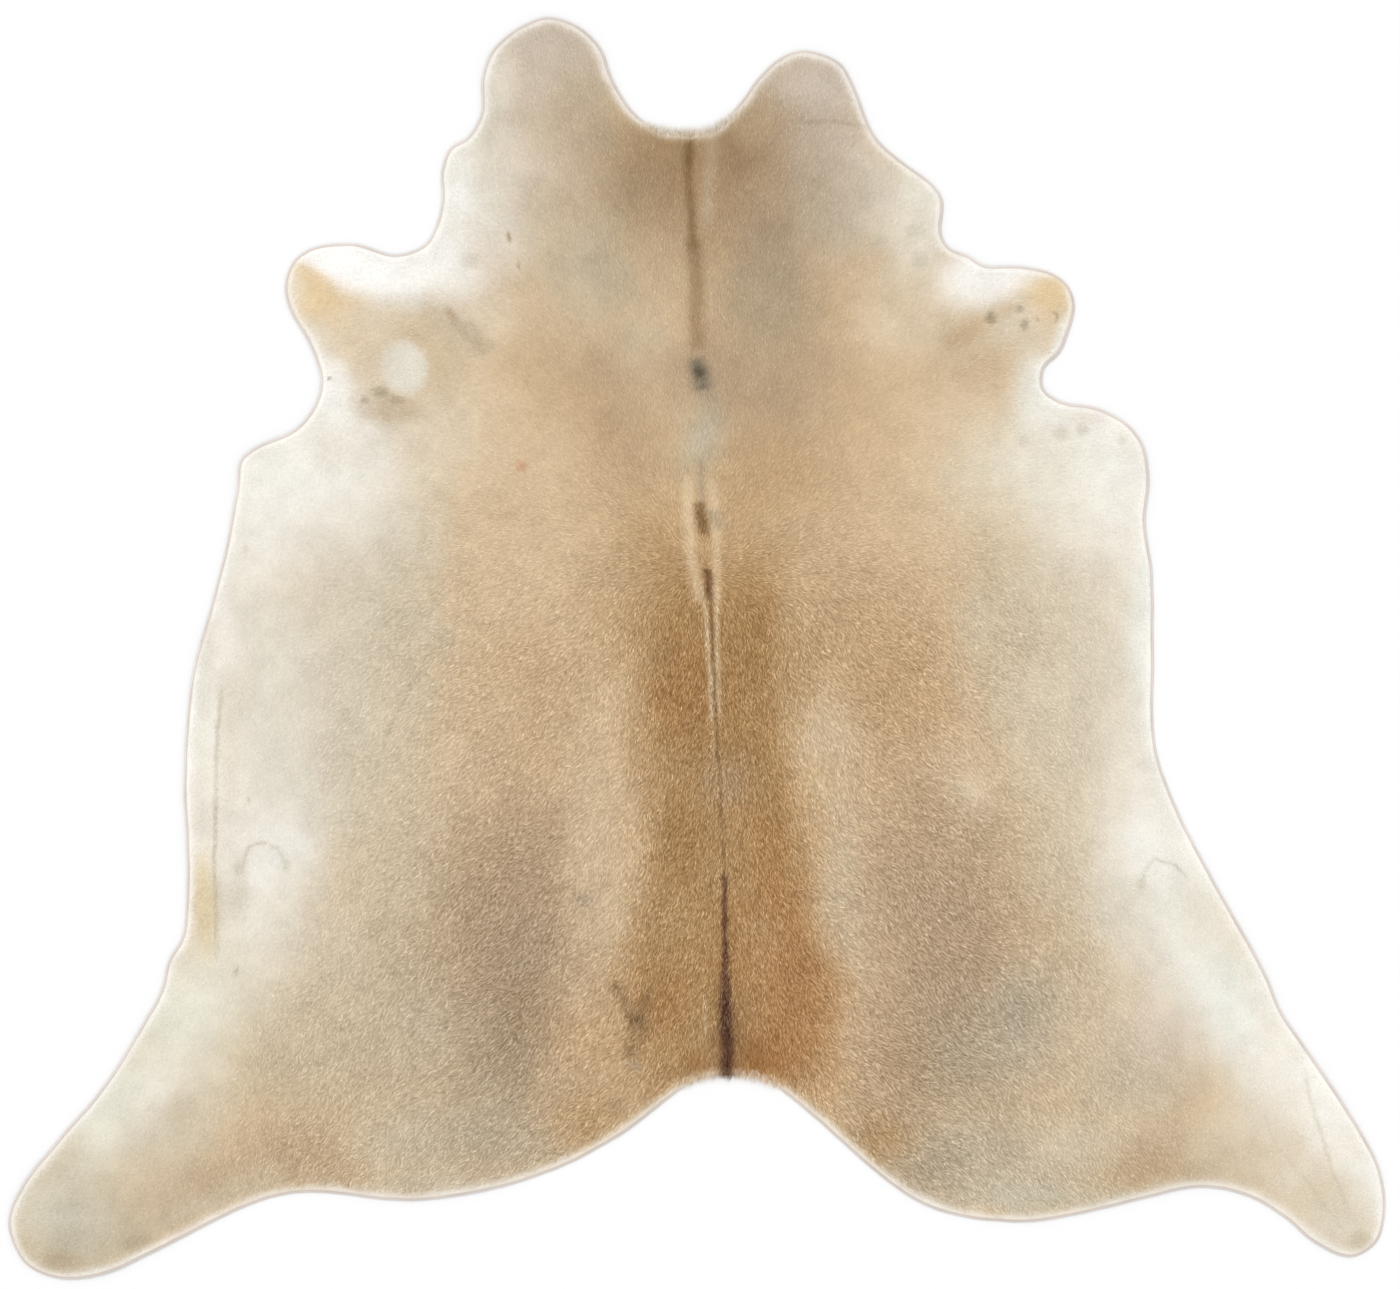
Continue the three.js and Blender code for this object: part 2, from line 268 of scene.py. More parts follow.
RUMP_PATCHES = {
    "left haunch": [
        (-335, -480, 115, 190, "taupe", 0.95),
        (-285, -570, 60, 85, "smoke", 0.3),
        (-480, -650, 75, 80, "dove", 0.75),
        (-325, -710, 80, 90, "smoke", 0.5),
        (-400, -830, 150, 80, "dove", 0.75),
        (-315, -810, 65, 75, "smoke", 0.2),
    ],
    "left of the tail": [(-170, -660, 70, 60, "fawn", 0.7)],
    "left pale strip": [(-190, -330, 35, 150, "sand", 0.7), (-145, -435, 35, 70, "sand", 0.65)],
    "right ribs, brown": [(405, -268, 55, 60, "fawn", 0.7)],
    "right haunch, outer core": [(545, -625, 45, 45, "taupe", 0.75)],
    "left haunch, outer core": [(-520, -600, 60, 70, "taupe", 0.3)],
    "right haunch": [(560, -905, 90, 35, "mauve", 0.45), (548, -635, 50, 42, "smoke", 0.75)],
    "left haunch, edge, pale": [(-500, -845, 60, 45, "beige", 0.4)],
    "left thigh, warm": [(-560, -650, 80, 65, "tan", 0.3)],
    "right of the tail, brown": [(350, -700, 40, 45, "caramel", 0.8)],
    "left thigh, grey": [(-490, -390, 60, 80, "greige", 0.45)],
    "left buttock": [(-190, -800, 55, 45, "caramel", 0.75)],
    "right haunch, grey": [
        (415, -490, 110, 220, "taupe", 0.95),
        (460, -690, 90, 85, "smoke", 0.65),
        (560, -640, 65, 95, "dove", 0.9),
        (480, -870, 150, 80, "dove", 0.9),
        (390, -880, 60, 50, "smoke", 0.5),
    ],
    "right of the tail": [(315, -780, 60, 90, "taupe", 0.6)],
    "right pale strip": [(255, -410, 32, 150, "greige", 0.5, 4), (212, -450, 26, 60, "greige", 0.4)],
    "right buttock": [(310, -822, 40, 36, "caramel", 0.8)],
}

HIND_LEG_PATCHES = {
    "left thigh": [
        (-650, -680, 140, 120, "greige", 0.6),
        (-560, -540, 110, 110, "greige", 0.5),
        (-865, -610, 95, 135, "oat", 1.0, -25),
    ],
    "left hock": [(-900, -790, 75, 110, "bone", 0.7, -38)],
    "left shank": [(-1000, -800, 60, 150, "oat", 1.0, -38), (-720, -880, 130, 50, "taupe", 0.4, 8)],
    "left foot": [(-1050, -980, 110, 90, "silver", 0.95, -45), (-1140, -960, 40, 60, "oat", 0.4)],
    "right thigh": [
        (780, -670, 110, 100, "shell", 0.85),
        (720, -750, 90, 45, "greige", 0.6),
        (650, -845, 65, 50, "beige", 0.6),
        (900, -600, 75, 180, "milk", 0.95, 28),
    ],
    "right shank, outer": [(1060, -770, 60, 150, "cream", 1.0, 30)],
    "right hock": [(930, -845, 105, 60, "bone", 0.75, 30)],
    "right shank, inner": [(800, -880, 110, 45, "taupe", 0.5)],
    "right foot": [
        (1110, -980, 75, 75, "beige", 1.0, 30),
        (1150, -920, 35, 80, "cream", 0.9, 25),
        (1040, -960, 70, 20, "bone", 0.4, -38),
    ],
    "lower edge": [
        (560, -945, 120, 26, "silver", 0.85),
        (800, -930, 130, 18, "silver", 0.6, 6),
        (-430, -915, 180, 18, "greige", 0.8),
    ],
    "left foot, lower edge": [(-860, -960, 110, 20, "greige", 0.8, 22)],
    "right belly": [
        (845, -455, 34, 75, "bone", 0.85, 20),
        (700, -440, 35, 45, "silver", 0.35),
        (755, -350, 35, 45, "ivory", 0.5),
    ],
    "left hock, shade": [(-872, -802, 50, 60, "greige", 0.7, -38)],
    "right foot, grey": [(1015, -898, 48, 38, "bone", 0.6)],
    "right thigh, dull": [(720, -700, 60, 50, "dove", 0.35), (650, -565, 60, 80, "greige", 0.35)],
    "left shank, grey": [
        (-890, -925, 70, 35, "mauve", 0.35, 20),
        (-760, -895, 55, 35, "greige", 0.45),
        (-925, -770, 30, 60, "ivory", 0.25, -30),
    ],
    "left foot, grey": [(-1080, -950, 45, 40, "milk", 0.15)],
    "right shank, dull": [(775, -832, 60, 30, "mauve", 0.35)],
}

# Small corrections over all the others
LAST_PATCHES = {
    "left of the neck's mid line": [(-120, 740, 30, 36, "umber", 0.15)],
    "left chest": [(-452, 485, 38, 50, "sand", 0.5), (-480, 578, 45, 14, "bone", 0.3)],
    "left foreleg, outer edge": [(-684, 605, 18, 34, "cream", 0.4)],
    "right breast, brown": [(505, 230, 38, 55, "sand", 0.35)],
    "right ribs, outer top": [(655, 80, 45, 95, "greige", 0.25)],
    "middle of the back, low": [(45, -370, 32, 75, "tan", 0.22)],
    "left band, middle": [(-25, -55, 55, 65, "honey", 0.3)],
    "right band, outer": [(275, -60, 45, 45, "caramel", 0.2)],
    "right haunch, core, low": [(560, -622, 45, 42, "smoke", 0.45)],
    "right shank, warm": [(895, -848, 80, 38, "sand", 0.35)],
    "left haunch, inner": [(-285, -625, 40, 70, "umber", 0.18)],
    "left rump, pale": [(-150, -345, 40, 45, "biscuit", 0.45)],
    "right ribs, pale core": [(450, -255, 36, 40, "wheat", 0.45)],
    "right belly, upper": [(605, -75, 40, 70, "greige", 0.25)],
}

PATCHES = patches(
    NECK_PATCHES,
    FORELEG_PATCHES,
    FLANK_PATCHES,
    SHOULDER_PATCHES,
    BACK_PATCHES,
    RUMP_PATCHES,
    HIND_LEG_PATCHES,
    LAST_PATCHES,
)

# The line of the spine from the neck notch to the tail
SPINE = np.array(
    [
        (-14, 900),
        (-12, 860),
        (-8, 760),
        (-1, 677),
        (0, 560),
        (2, 469),
        (5, 370),
        (9, 221),
        (17, 132),
        (24, 14),
        (29, -88),
        (39, -207),
        (44, -309),
        (45, -428),
        (49, -598),
        (53, -740),
    ],
    float,
)


def spine_across(along):
    """Where the spine lies across the hide, at a distance along it."""
    return np.interp(along, SPINE[::-1, 1], SPINE[::-1, 0])


def spine_path(start, end, aside=0.0, steps=8):
    """Places along the spine from start to end, each moved aside to the right."""
    return [(spine_across(along) + aside, along) for along in np.linspace(start, end, steps)]


# Soft lines of colour along a path
Stroke = namedtuple("Stroke", "path half_width tone amount")

STROKES = {
    "neck line": ([(-13, 860), (-14, 800), (-10, 740), (-6, 670)], 6.5, "umber", 0.62),
    "neck line, core": ([(-13, 862), (-15, 815)], 7, "umber", 0.5),
    "neck line, pale right side": ([(24, 876), (22, 800), (16, 712)], 10, "mauve", 0.35),
    "neck line, lower": ([(-6, 700), (-1, 640), (0, 560), (2, 500)], 12, "umber", 0.4),
    # Painted shade where the hair stands up above the whorl
    "tuft above the whorl": ([(-3, 492), (4, 462), (12, 434)], 13, "slate", 0.7),
    "tuft above the whorl, core": ([(-2, 476), (8, 460)], 8, "soot", 0.7),
    "line below the whorl": ([(8, 325), (8, 240)], 4, "smoke", 0.5),
    "left pale strip of the spine": ([(-14, 300), (-15, 220), (-8, 150), (7, 76)], 10, "biscuit", 0.8),
    "right pale strip of the spine": ([(24, 290), (32, 180), (31, 120), (32, 76)], 8, "biscuit", 0.75),
    # Painted shade below the whorl
    "dark spot below the whorl": ([(3, 244), (11, 192)], 8, "umber", 0.9),
    "grey smear below the whorl": ([(20, 234), (38, 203)], 9, "smoke", 0.5),
    "slit, upper": ([(12, 190), (16, 135)], 6, "fawn", 0.6),
    # Painted shade in the slit where the hair parts at the crown
    "slit": ([(17, 136), (19, 112), (21, 82)], 5.5, "cocoa", 0.62),
    "slit, lower": ([(21, 92), (26, 0), (32, -110)], 2.5, "umber", 0.8),
    "slit, left stripe": ([(12, 90), (20, 0), (26, -130)], 3.5, "sand", 0.8),
    "slit, right stripe": ([(31, 100), (34, 0), (39, -120)], 3.5, "sand", 0.8),
    "back line": ([(31, -90), (39, -210), (45, -370)], 2.5, "umber", 0.6),
    "back line, left stripe": ([(26, -120), (32, -230)], 4, "fawn", 0.5),
    "tail line, upper": ([(46, -375), (48, -460), (47, -545)], 4, "cocoa", 0.8),
    "tail line, edges": ([(47, -560), (50, -620), (53, -738)], 13, "umber", 0.35),
    "tail line, middle": ([(47, -505), (49, -600)], 5.5, "cocoa", 0.6),
    "tail line, thicker": ([(48, -545), (50, -640)], 7.5, "cocoa", 0.6),
    "tail line": ([(49, -590), (50, -630), (53, -734)], 9, "cocoa", 0.95),
    "pale hairs left of the tail line": ([(14, -590), (13, -655)], 2.5, "sand", 0.6),
}

# Paths that have both a tone and a crease; along the shank and foot lines the tone is painted shade of the
# fold, along the scars it is the scars' own grey
LEFT_SCAR = [(-773, -369), (-760, -335), (-734, -330), (-709, -343), (-695, -369)]
RIGHT_SCAR = [(753, -398), (762, -374), (779, -357), (813, -365), (833, -394)]
RIGHT_SHANK_LINE = [(1030, -717), (1056, -819), (1085, -904), (1108, -964)]
RIGHT_FOOT_LINE = [(960, -785), (983, -845), (1034, -904), (1102, -998)]

# Thin scars, stains and lines of the coat; the lines along folds and creases are painted light and painted
# shade of them
MARKS = {
    "right foreleg bar": ([(541, 592), (413, 512)], 14, "fawn", 0.4),
    "right foreleg scar": ([(601, 571), (607, 567), (607, 557), (601, 553)], 1.6, "umber", 0.5),
    "left belly scar": (LEFT_SCAR, 2.0, "smoke", 0.3),
    "right belly scar": (RIGHT_SCAR, 2.0, "smoke", 0.3),
    "rump mark, left arm": ([(-142, -562), (-120, -600), (-104, -640)], 8, "umber", 0.4),
    "rump mark, right arm": ([(-80, -570), (-86, -600), (-98, -640)], 8, "umber", 0.35),
    "neck nick": ([(-320, 706), (-315, 688)], 2.0, "umber", 0.6),
    "neck nick, lower": ([(-303, 653), (-298, 640)], 2.0, "umber", 0.5),
    # Painted light on the lit side of the left flank fold, and painted shade along its trough
    "painted light beside the flank fold": ([(-826, 60), (-840, -120), (-842, -330)], 12, "bone", 0.7),
    "flank fold, painted shade line": ([(-806, -60), (-816, -200), (-818, -380), (-816, -530)], 3, "silver", 0.65),
    "flank fold, deeper painted shade": ([(-817, -250), (-818, -380), (-817, -500)], 2, "smoke", 0.2),
    # Painted shade along the left body line's trough
    "left body line": ([(-445, 5), (-479, -54), (-505, -102), (-540, -175)], 3, "smoke", 0.25),
    # Painted shade along the folds of the right shank and foot and the crease of the right lobe
    "right shank line": (RIGHT_SHANK_LINE, 3, "silver", 0.4),
    "right foot line": (RIGHT_FOOT_LINE, 3, "silver", 0.3),
    "right lobe line": ([(158, 891), (225, 890), (296, 884)], 3, "smoke", 0.35),
}

# Patches with a crisp border: the forelegs' white bands, and small spots and smudges of the coat
SPOT_SHARPNESS = 4.0
SPOT_PATCHES = {
    "left foreleg": [
        (-613, 662, 85, 40, "white", 0.95, -30),
        (-500, 656, 85, 50, "ivory", 0.75, 8),
        (-648, 628, 34, 14, "apricot", 0.7, -32),
    ],
    "right foreleg": [(498, 641, 95, 51, "ivory", 0.95, 24), (606, 612, 26, 14, "apricot", 0.5, 30)],
    "left elbow, edge": [(-615, 445, 30, 45, "ivory", 0.6)],
    "left belly scar, inside": [(-738, -388, 22, 28, "ivory", 0.2)],
    "yellow stain": [(-834, -438, 16, 78, "straw", 0.9, 2), (-811, -445, 7, 62, "greige", 0.3)],
    "left elbow shade": [(-520, 408, 50, 26, "taupe", 0.45)],
    "left forearm smudge": [
        (-416, 562, 7, 18, "taupe", 0.6, 25),
        (-385, 535, 28, 15, "smoke", 0.35, -30),
        (-362, 510, 22, 14, "smoke", 0.35),
    ],
    "left elbow smudge": [
        (-535, 436, 13, 9, "slate", 0.3),
        (-506, 422, 12, 7, "slate", 0.25),
        (-560, 422, 6, 6, "slate", 0.3),
    ],
    "left edge spot": [(-622, 458, 5, 4, "slate", 0.45)],
    "right foreleg spot": [
        (497, 562, 8, 10, "slate", 0.4),
        (546, 576, 6, 7, "slate", 0.35),
        (554, 548, 7, 9, "slate", 0.35),
        (575, 558, 4, 3, "umber", 0.3),
    ],
    "left throat smudge": [(-383, 656, 14, 12, "silver", 0.4)],
    "right throat smudge": [(311, 687, 13, 11, "silver", 0.45)],
    "right cheek smudge": [(365, 704, 16, 13, "silver", 0.5), (379, 656, 15, 13, "silver", 0.5)],
    "right shoulder smudge": [
        (616, 365, 12, 10, "silver", 0.4),
        (653, 371, 10, 10, "silver", 0.4),
        (719, 354, 7, 8, "silver", 0.35),
    ],
    "right breast smudge": [(554, 354, 9, 9, "silver", 0.35)],
    "left belly scar": [(-776, -372, 9, 12, "silver", 0.4), (-695, -372, 8, 10, "silver", 0.3)],
    "right belly scar, inner end": [(753, -400, 9, 11, "silver", 0.35)],
    "left edge mark": [
        (-763, 170, 4, 6, "smoke", 0.3),
        (-760, -258, 4, 6, "smoke", 0.3),
        (-782, -547, 4, 8, "smoke", 0.35, -15),
    ],
    "pink spot": [(-296, 308, 10, 8, "rosy", 0.6)],
    "grey smudge left of the back": [(-190, -428, 17, 14, "smoke", 0.45)],
    "rump mark": [
        (-98, -640, 22, 34, "umber", 0.3),
        (-104, -634, 13, 16, "umber", 0.4),
        (-112, -682, 12, 12, "umber", 0.35),
        (-106, -708, 12, 10, "smoke", 0.4),
    ],
    "orange left of the tail": [(-5, -700, 24, 20, "honey", 0.5)],
    "left foot": [(-1074, -1040, 30, 16, "taupe", 0.35), (-947, -1006, 30, 14, "smoke", 0.35, 15)],
    "right foot, grey smudge": [(1127, -1006, 20, 14, "smoke", 0.3)],
}

# Here, at the left foreleg, the hair is worn and pale
WORN_PLACE = Patch(-494, 476, 39, 45, "ash", 1.0, 12)
WORN_SHARPNESS = 8.0

# The hair is paler near the cut edge
PALE_RIM_SHARE = 0.78
PALE_RIM_START = 3.5
PALE_RIM_REACH = 11.0
# Places where the hair is longer and hangs past the cut edge
Fringe = namedtuple("Fringe", "across along reach pale_reach")
NECK_NOTCH = Fringe(-10, 880, 88, 9.5)
TAIL_NOTCH = Fringe(58, -728, 95, 6.5)
FRINGES = [NECK_NOTCH, TAIL_NOTCH]
FULL_FRINGE = 0.6  # share of its reach up to which a fringe is whole
FRINGE_FADE = 0.5  # share of its reach over which it then fades


def share_of_fringe(fringe, x, y):
    distance = np.hypot(x - fringe.across, y - fringe.along)
    return 1 - soft((distance / fringe.reach - FULL_FRINGE) / FRINGE_FADE)


def fringe_share(x, y):
    return np.max([share_of_fringe(fringe, x, y) for fringe in FRINGES], axis=0)


def pale_reach(x, y):
    """How far inside the cut edge the hair is paler."""
    reach = np.full(x.shape, PALE_RIM_REACH)
    for fringe in FRINGES:
        reach += share_of_fringe(fringe, x, y) * (fringe.pale_reach - reach)
    return reach


def soft(share):
    """A smooth step from 0 to 1."""
    share = np.clip(share, 0, 1)
    return share * share * (3 - 2 * share)


def between_cells(grid, rows, columns, s, t):
    """Values straight between two rows and two columns of a grid, by the shares s and t."""
    low, high = rows
    left, right = columns
    below = grid[low, left] * (1 - s) + grid[low, right] * s
    above = grid[high, left] * (1 - s) + grid[high, right] * s
    return below * (1 - t) + above * t


LATTICE_SIDE = 128


def cloud(x, y, pitch, seed):
    """Smooth noise from -1 to 1 whose blobs are about pitch across."""
    lattice = np.random.default_rng(seed).uniform(-1, 1, (LATTICE_SIDE, LATTICE_SIDE))
    column, row = np.floor(x / pitch).astype(int), np.floor(y / pitch).astype(int)
    s, t = soft(x / pitch - column), soft(y / pitch - row)
    left, right = column % LATTICE_SIDE, (column + 1) % LATTICE_SIDE
    low, high = row % LATTICE_SIDE, (row + 1) % LATTICE_SIDE
    return between_cells(lattice, (low, high), (left, right), s, t)


Wave = namedtuple("Wave", "height pitch seed")


def with_waves(value, x, y, *waves):
    """The value with each wave's smooth noise at the places added."""
    for wave in waves:
        value = value + wave.height * cloud(x, y, wave.pitch, wave.seed)
    return value


def path_distance(path, x, y):
    """Distance of places from a path, and how far along it they lie, from 0 to 1."""
    path = np.asarray(path, float)
    runs = np.diff(path, axis=0)
    lengths = np.hypot(*runs.T)
    starts = np.concatenate([[0], np.cumsum(lengths)])
    nearest = np.full(x.shape, np.inf)
    position = np.zeros(x.shape)
    for start, run, length, before in zip(path, runs, lengths, starts):
        share = ((x - start[0]) * run[0] + (y - start[1]) * run[1]) / length**2
        share = np.clip(share, 0, 1)
        distance = np.hypot(x - start[0] - share * run[0], y - start[1] - share * run[1])
        closer = distance < nearest
        nearest = np.where(closer, distance, nearest)
        position = np.where(closer, (before + share * length) / starts[-1], position)
    return nearest, position


PATCH_SHARPNESS = 2.4
STROKE_SHARPNESS = 2.5
STROKE_TAPER = 0.12  # share of a stroke's length over which its ends fade
STROKE_END = 0.25  # how far that fading has come at the very end


def patch_weight(patch, x, y, sharpness=PATCH_SHARPNESS):
    turn = math.radians(patch.turn)
    right, up = x - patch.across, y - patch.along
    across = (right * math.cos(turn) + up * math.sin(turn)) / patch.reach_across
    along = (up * math.cos(turn) - right * math.sin(turn)) / patch.reach_along
    return patch.amount * np.exp2(-np.hypot(across, along) ** sharpness)


def stroke_weight(stroke, x, y):
    distance, position = path_distance(stroke.path, x, y)
    ends = np.minimum(position, 1 - position)
    beside = np.exp2(-((distance / stroke.half_width) ** STROKE_SHARPNESS))
    return stroke.amount * beside * soft(ends / STROKE_TAPER + STROKE_END)


# Light that goes from brown hair to brown hair reddens, so brown tints are held back by this
TINT_HOLD = np.array([0.008, -0.005, 0.0])

# How far the borders of patches, of the pale rim and of strokes wander
PATCH_ACROSS = (Wave(18, 95, 11), Wave(7, 30, 12))
PATCH_ALONG = (Wave(18, 95, 13), Wave(7, 30, 14))
PALE_RIM_WANDER = Wave(1.5, 25, 16)
STROKE_ACROSS = (Wave(1.8, 40, 41), Wave(1.2, 8, 15))
STROKE_ALONG = (Wave(1.8, 40, 42), Wave(1.2, 8, 19))
MOTTLE = (Wave(0.016, 60, 17), Wave(0.018, 22, 18))


def blended(tint, weight, tone):
    return tint + weight[:, None] * (TONES[tone] - tint)


def hair_tint(x, y, inset):
    """sRGB colour, 0 to 1, of the hair that grows at places of the hide."""
    across = with_waves(x, x, y, *PATCH_ACROSS)
    along = with_waves(y, x, y, *PATCH_ALONG)
    tint = np.tile(np.array(TONES["tan"], float), (len(x), 1))
    for patch in PATCHES:
        tint = blended(tint, patch_weight(patch, across, along), patch.tone)
    deeper = np.maximum(with_waves(inset, x, y, PALE_RIM_WANDER) - PALE_RIM_START, 0)
    rim = PALE_RIM_SHARE * np.exp(-((deeper / pale_reach(x, y)) ** 2))
    tint = blended(tint, rim, "ivory")
    across = with_waves(x, x, y, *STROKE_ACROSS)
    along = with_waves(y, x, y, *STROKE_ALONG)
    for row in [*STROKES.values(), *MARKS.values()]:
        stroke = Stroke(*row)
        tint = blended(tint, stroke_weight(stroke, across, along), stroke.tone)
    for spot in patches(SPOT_PATCHES):
        tint = blended(tint, patch_weight(spot, across, along, SPOT_SHARPNESS), spot.tone)
    worn = patch_weight(WORN_PLACE, across, along, WORN_SHARPNESS)
    tint = blended(tint, worn, WORN_PLACE.tone)
    mottle = with_waves(1, x, y, *MOTTLE)
    hold = 1 - TINT_HOLD * darkness(tint / 255)[:, None]
    return np.clip(tint * hold * mottle[:, None] / 255, 0, 1)


BROWN_TINT = 0.6  # tints as dark as this count as brown
PALE_ABOVE_BROWN = 0.32  # and tints this much paler as pale


def darkness(tint):
    """How dark a tint is, from 0 where it is pale to 1 where it is brown."""
    return 1 - soft((tint.mean(1) - BROWN_TINT) / PALE_ABOVE_BROWN)


# Brown hair is rougher on the trunk, from its front and its sides inwards, and fully so past each fade
TRUNK_FRONT, TRUNK_FRONT_FADE = 450, 500
TRUNK_SIDE, TRUNK_SIDE_FADE = 950, 350
LIMB_GRAIN = 0.3


def grain(tint, x, y):
    """How much the hairs at places differ, from 0 on white hair to 1 on the trunk's brown hair."""
    trunk = soft((TRUNK_FRONT - y) / TRUNK_FRONT_FADE) * soft((TRUNK_SIDE - np.abs(x)) / TRUNK_SIDE_FADE)
    return darkness(tint) * (LIMB_GRAIN + (1 - LIMB_GRAIN) * trunk)


# Where the hair is brown yet smooth, less shade lies in it, so painted shade darkens its tint by this
SMOOTH_HAIR_PAINTED_SHADE = 0.055

# Pale hair throws back more of its neighbours' light, so its own tint is held back by this
PALE_HOLD = np.array([0.075, 0.06, 0.04])


# Low ridges and troughs of the skin, each along a path: height is over or under the skin about it
Crease = namedtuple("Crease", "path half_width height")

CREASES = {
    "left flank fold": ([(-797, 116), (-808, -54), (-816, -190), (-818, -343), (-832, -513)], 20, 1.6),
    "left flank line": ([(-814, -190), (-818, -300), (-820, -390)], 5, -1.0),
    "left body line": ([(-445, 5), (-479, -54), (-505, -102), (-525, -136), (-540, -175)], 8, -0.8),
    "right lobe, upper line": ([(158, 893), (225, 892), (296, 886)], 5, -0.7),
    "right lobe, lower line": ([(150, 877), (225, 874), (300, 872)], 5, 0.7),
    "right shank fold": (RIGHT_SHANK_LINE, 9, 1.5),
    "right foot fold": (RIGHT_FOOT_LINE, 8, 0.7),
    "left shank line": ([(-870, -760), (-887, -790), (-904, -819)], 6, -0.6),
    "left armpit fold": ([(-644, 359), (-637, 337), (-607, 316), (-564, 333)], 7, 0.9),
    "left belly scar": (LEFT_SCAR, 5, 0.8),
    "right belly scar": (RIGHT_SCAR, 5, 0.8),
    "back ridge": (spine_path(150, -330), 9, 0.8),
    "tail ridge": (spine_path(-330, -720), 11, 1.0),
}

GRID_STEP = 5.0
GRID_MARGIN = 40.0
GRID_ACROSS = np.arange(CAD_LOW.x / MM - GRID_MARGIN, CAD_HIGH.x / MM + GRID_MARGIN, GRID_STEP)
GRID_ALONG = np.arange(CAD_LOW.y / MM - GRID_MARGIN, CAD_HIGH.y / MM + GRID_MARGIN, GRID_STEP)
BEFORE_LAST_CELL = 1.001  # keeps samples just short of the grid's last row and column
DEEP_INSIDE = 60.0  # distances from the cut edge are kept up to this
UNDERSIDE_NORMAL = -0.5
WELD_DISTANCE = 0.01
CURVE_PARTS = 8


def smooth_loop(knots, step):
    """A closed smooth curve through the knots, as places a step apart."""
    before, after, beyond = np.roll(knots, 1, 0), np.roll(knots, -1, 0), np.roll(knots, -2, 0)
    parts = []
    for t in np.arange(CURVE_PARTS) / CURVE_PARTS:
        bend = 2 * before - 5 * knots + 4 * after - beyond
        twist = 3 * knots - before - 3 * after + beyond
        parts.append(knots + ((after - before) * t + bend * t**2 + twist * t**3) / 2)
    fine = np.stack(parts, 1).reshape(-1, 2)
    closed = np.vstack([fine, fine[:1]])
    reach = np.concatenate([[0], np.cumsum(np.hypot(*np.diff(closed, axis=0).T))])
    at = np.linspace(0, reach[-1], round(reach[-1] / step), endpoint=False)
    return np.stack([np.interp(at, reach, closed[:, 0]), np.interp(at, reach, closed[:, 1])], 1)


def cut_edge(node, step):
    """The solid's outline on the floor, counter-clockwise, as places a step apart."""
    mesh = node.data
    places = np.array([vertex.co for vertex in mesh.vertices]) / MM
    keys, same = np.unique(np.round(places / WELD_DISTANCE).astype(int), axis=0, return_inverse=True)
    same = same.ravel()
    border = set()
    for face in mesh.polygons:
        if face.normal.z > UNDERSIDE_NORMAL:
            continue
        corners = [int(same[v]) for v in face.vertices]
        for a, b in zip(corners, corners[1:] + corners[:1]):
            if (b, a) in border:
                border.remove((b, a))
            else:
                border.add((a, b))
    follows = dict(border)
    loop = [next(iter(sorted(follows)))]
    while follows[loop[-1]] != loop[0]:
        loop.append(follows[loop[-1]])
    knots = keys[loop][:, :2] * WELD_DISTANCE
    ahead = np.roll(knots, -1, 0)
    if np.sum(knots[:, 0] * ahead[:, 1] - ahead[:, 0] * knots[:, 1]) < 0:
        knots = knots[::-1]
    return smooth_loop(knots, step)


def moved_in(loop, distance):
    """The loop moved inwards by a distance, which may differ from place to place."""
    run = np.roll(loop, -1, 0) - np.roll(loop, 1, 0)
    inwards = np.stack([-run[:, 1], run[:, 0]], 1) / np.hypot(*run.T)[:, None]
    return loop + inwards * np.broadcast_to(distance, len(loop))[:, None]


def inside_grid(loop):
    """True for each cell of the grid that lies inside the loop."""
    ahead = np.roll(loop, -1, 0)
    inside = np.zeros((len(GRID_ALONG), len(GRID_ACROSS)), bool)
    for row, along in enumerate(GRID_ALONG):
        crosses = (loop[:, 1] > along) != (ahead[:, 1] > along)
        a, b = loop[crosses], ahead[crosses]
        at = np.sort(a[:, 0] + (along - a[:, 1]) * (b[:, 0] - a[:, 0]) / (b[:, 1] - a[:, 1]))
        inside[row] = np.searchsorted(at, GRID_ACROSS) % 2 == 1
    return inside


def inset_grid(loop, inside):
    """Distance of each cell from the loop, up to DEEP_INSIDE, and negative outside it."""
    gap = np.full(inside.shape, DEEP_INSIDE)
    reach = int(DEEP_INSIDE / GRID_STEP) + 1
    for across, along in loop:
        column = int((across - GRID_ACROSS[0]) / GRID_STEP)
        row = int((along - GRID_ALONG[0]) / GRID_STEP)
        rows = slice(max(row - reach, 0), row + reach + 1)
        columns = slice(max(column - reach, 0), column + reach + 1)
        away = np.hypot(GRID_ALONG[rows, None] - along, GRID_ACROSS[None, columns] - across)
        gap[rows, columns] = np.minimum(gap[rows, columns], away)
    return np.where(inside, gap, -gap)


def sample(grid, x, y):
    """Values of a grid at places."""
    column = np.clip((x - GRID_ACROSS[0]) / GRID_STEP, 0, len(GRID_ACROSS) - BEFORE_LAST_CELL)
    row = np.clip((y - GRID_ALONG[0]) / GRID_STEP, 0, len(GRID_ALONG) - BEFORE_LAST_CELL)
    left, low = column.astype(int), row.astype(int)
    return between_cells(grid, (low, low + 1), (left, left + 1), column - left, row - low)


BLUR_REACH = 5  # cells over which the solid's flat faces are smoothed
LEAST_INSIDE = 0.02  # keeps the division below away from zero


def blurred(grid):
    offsets = np.arange(-3 * BLUR_REACH, 3 * BLUR_REACH + 1)
    kernel = np.exp(-((offsets / BLUR_REACH) ** 2) / 2)
    for axis in (0, 1):
        grid = np.apply_along_axis(np.convolve, axis, grid, kernel / kernel.sum(), "same")
    return grid


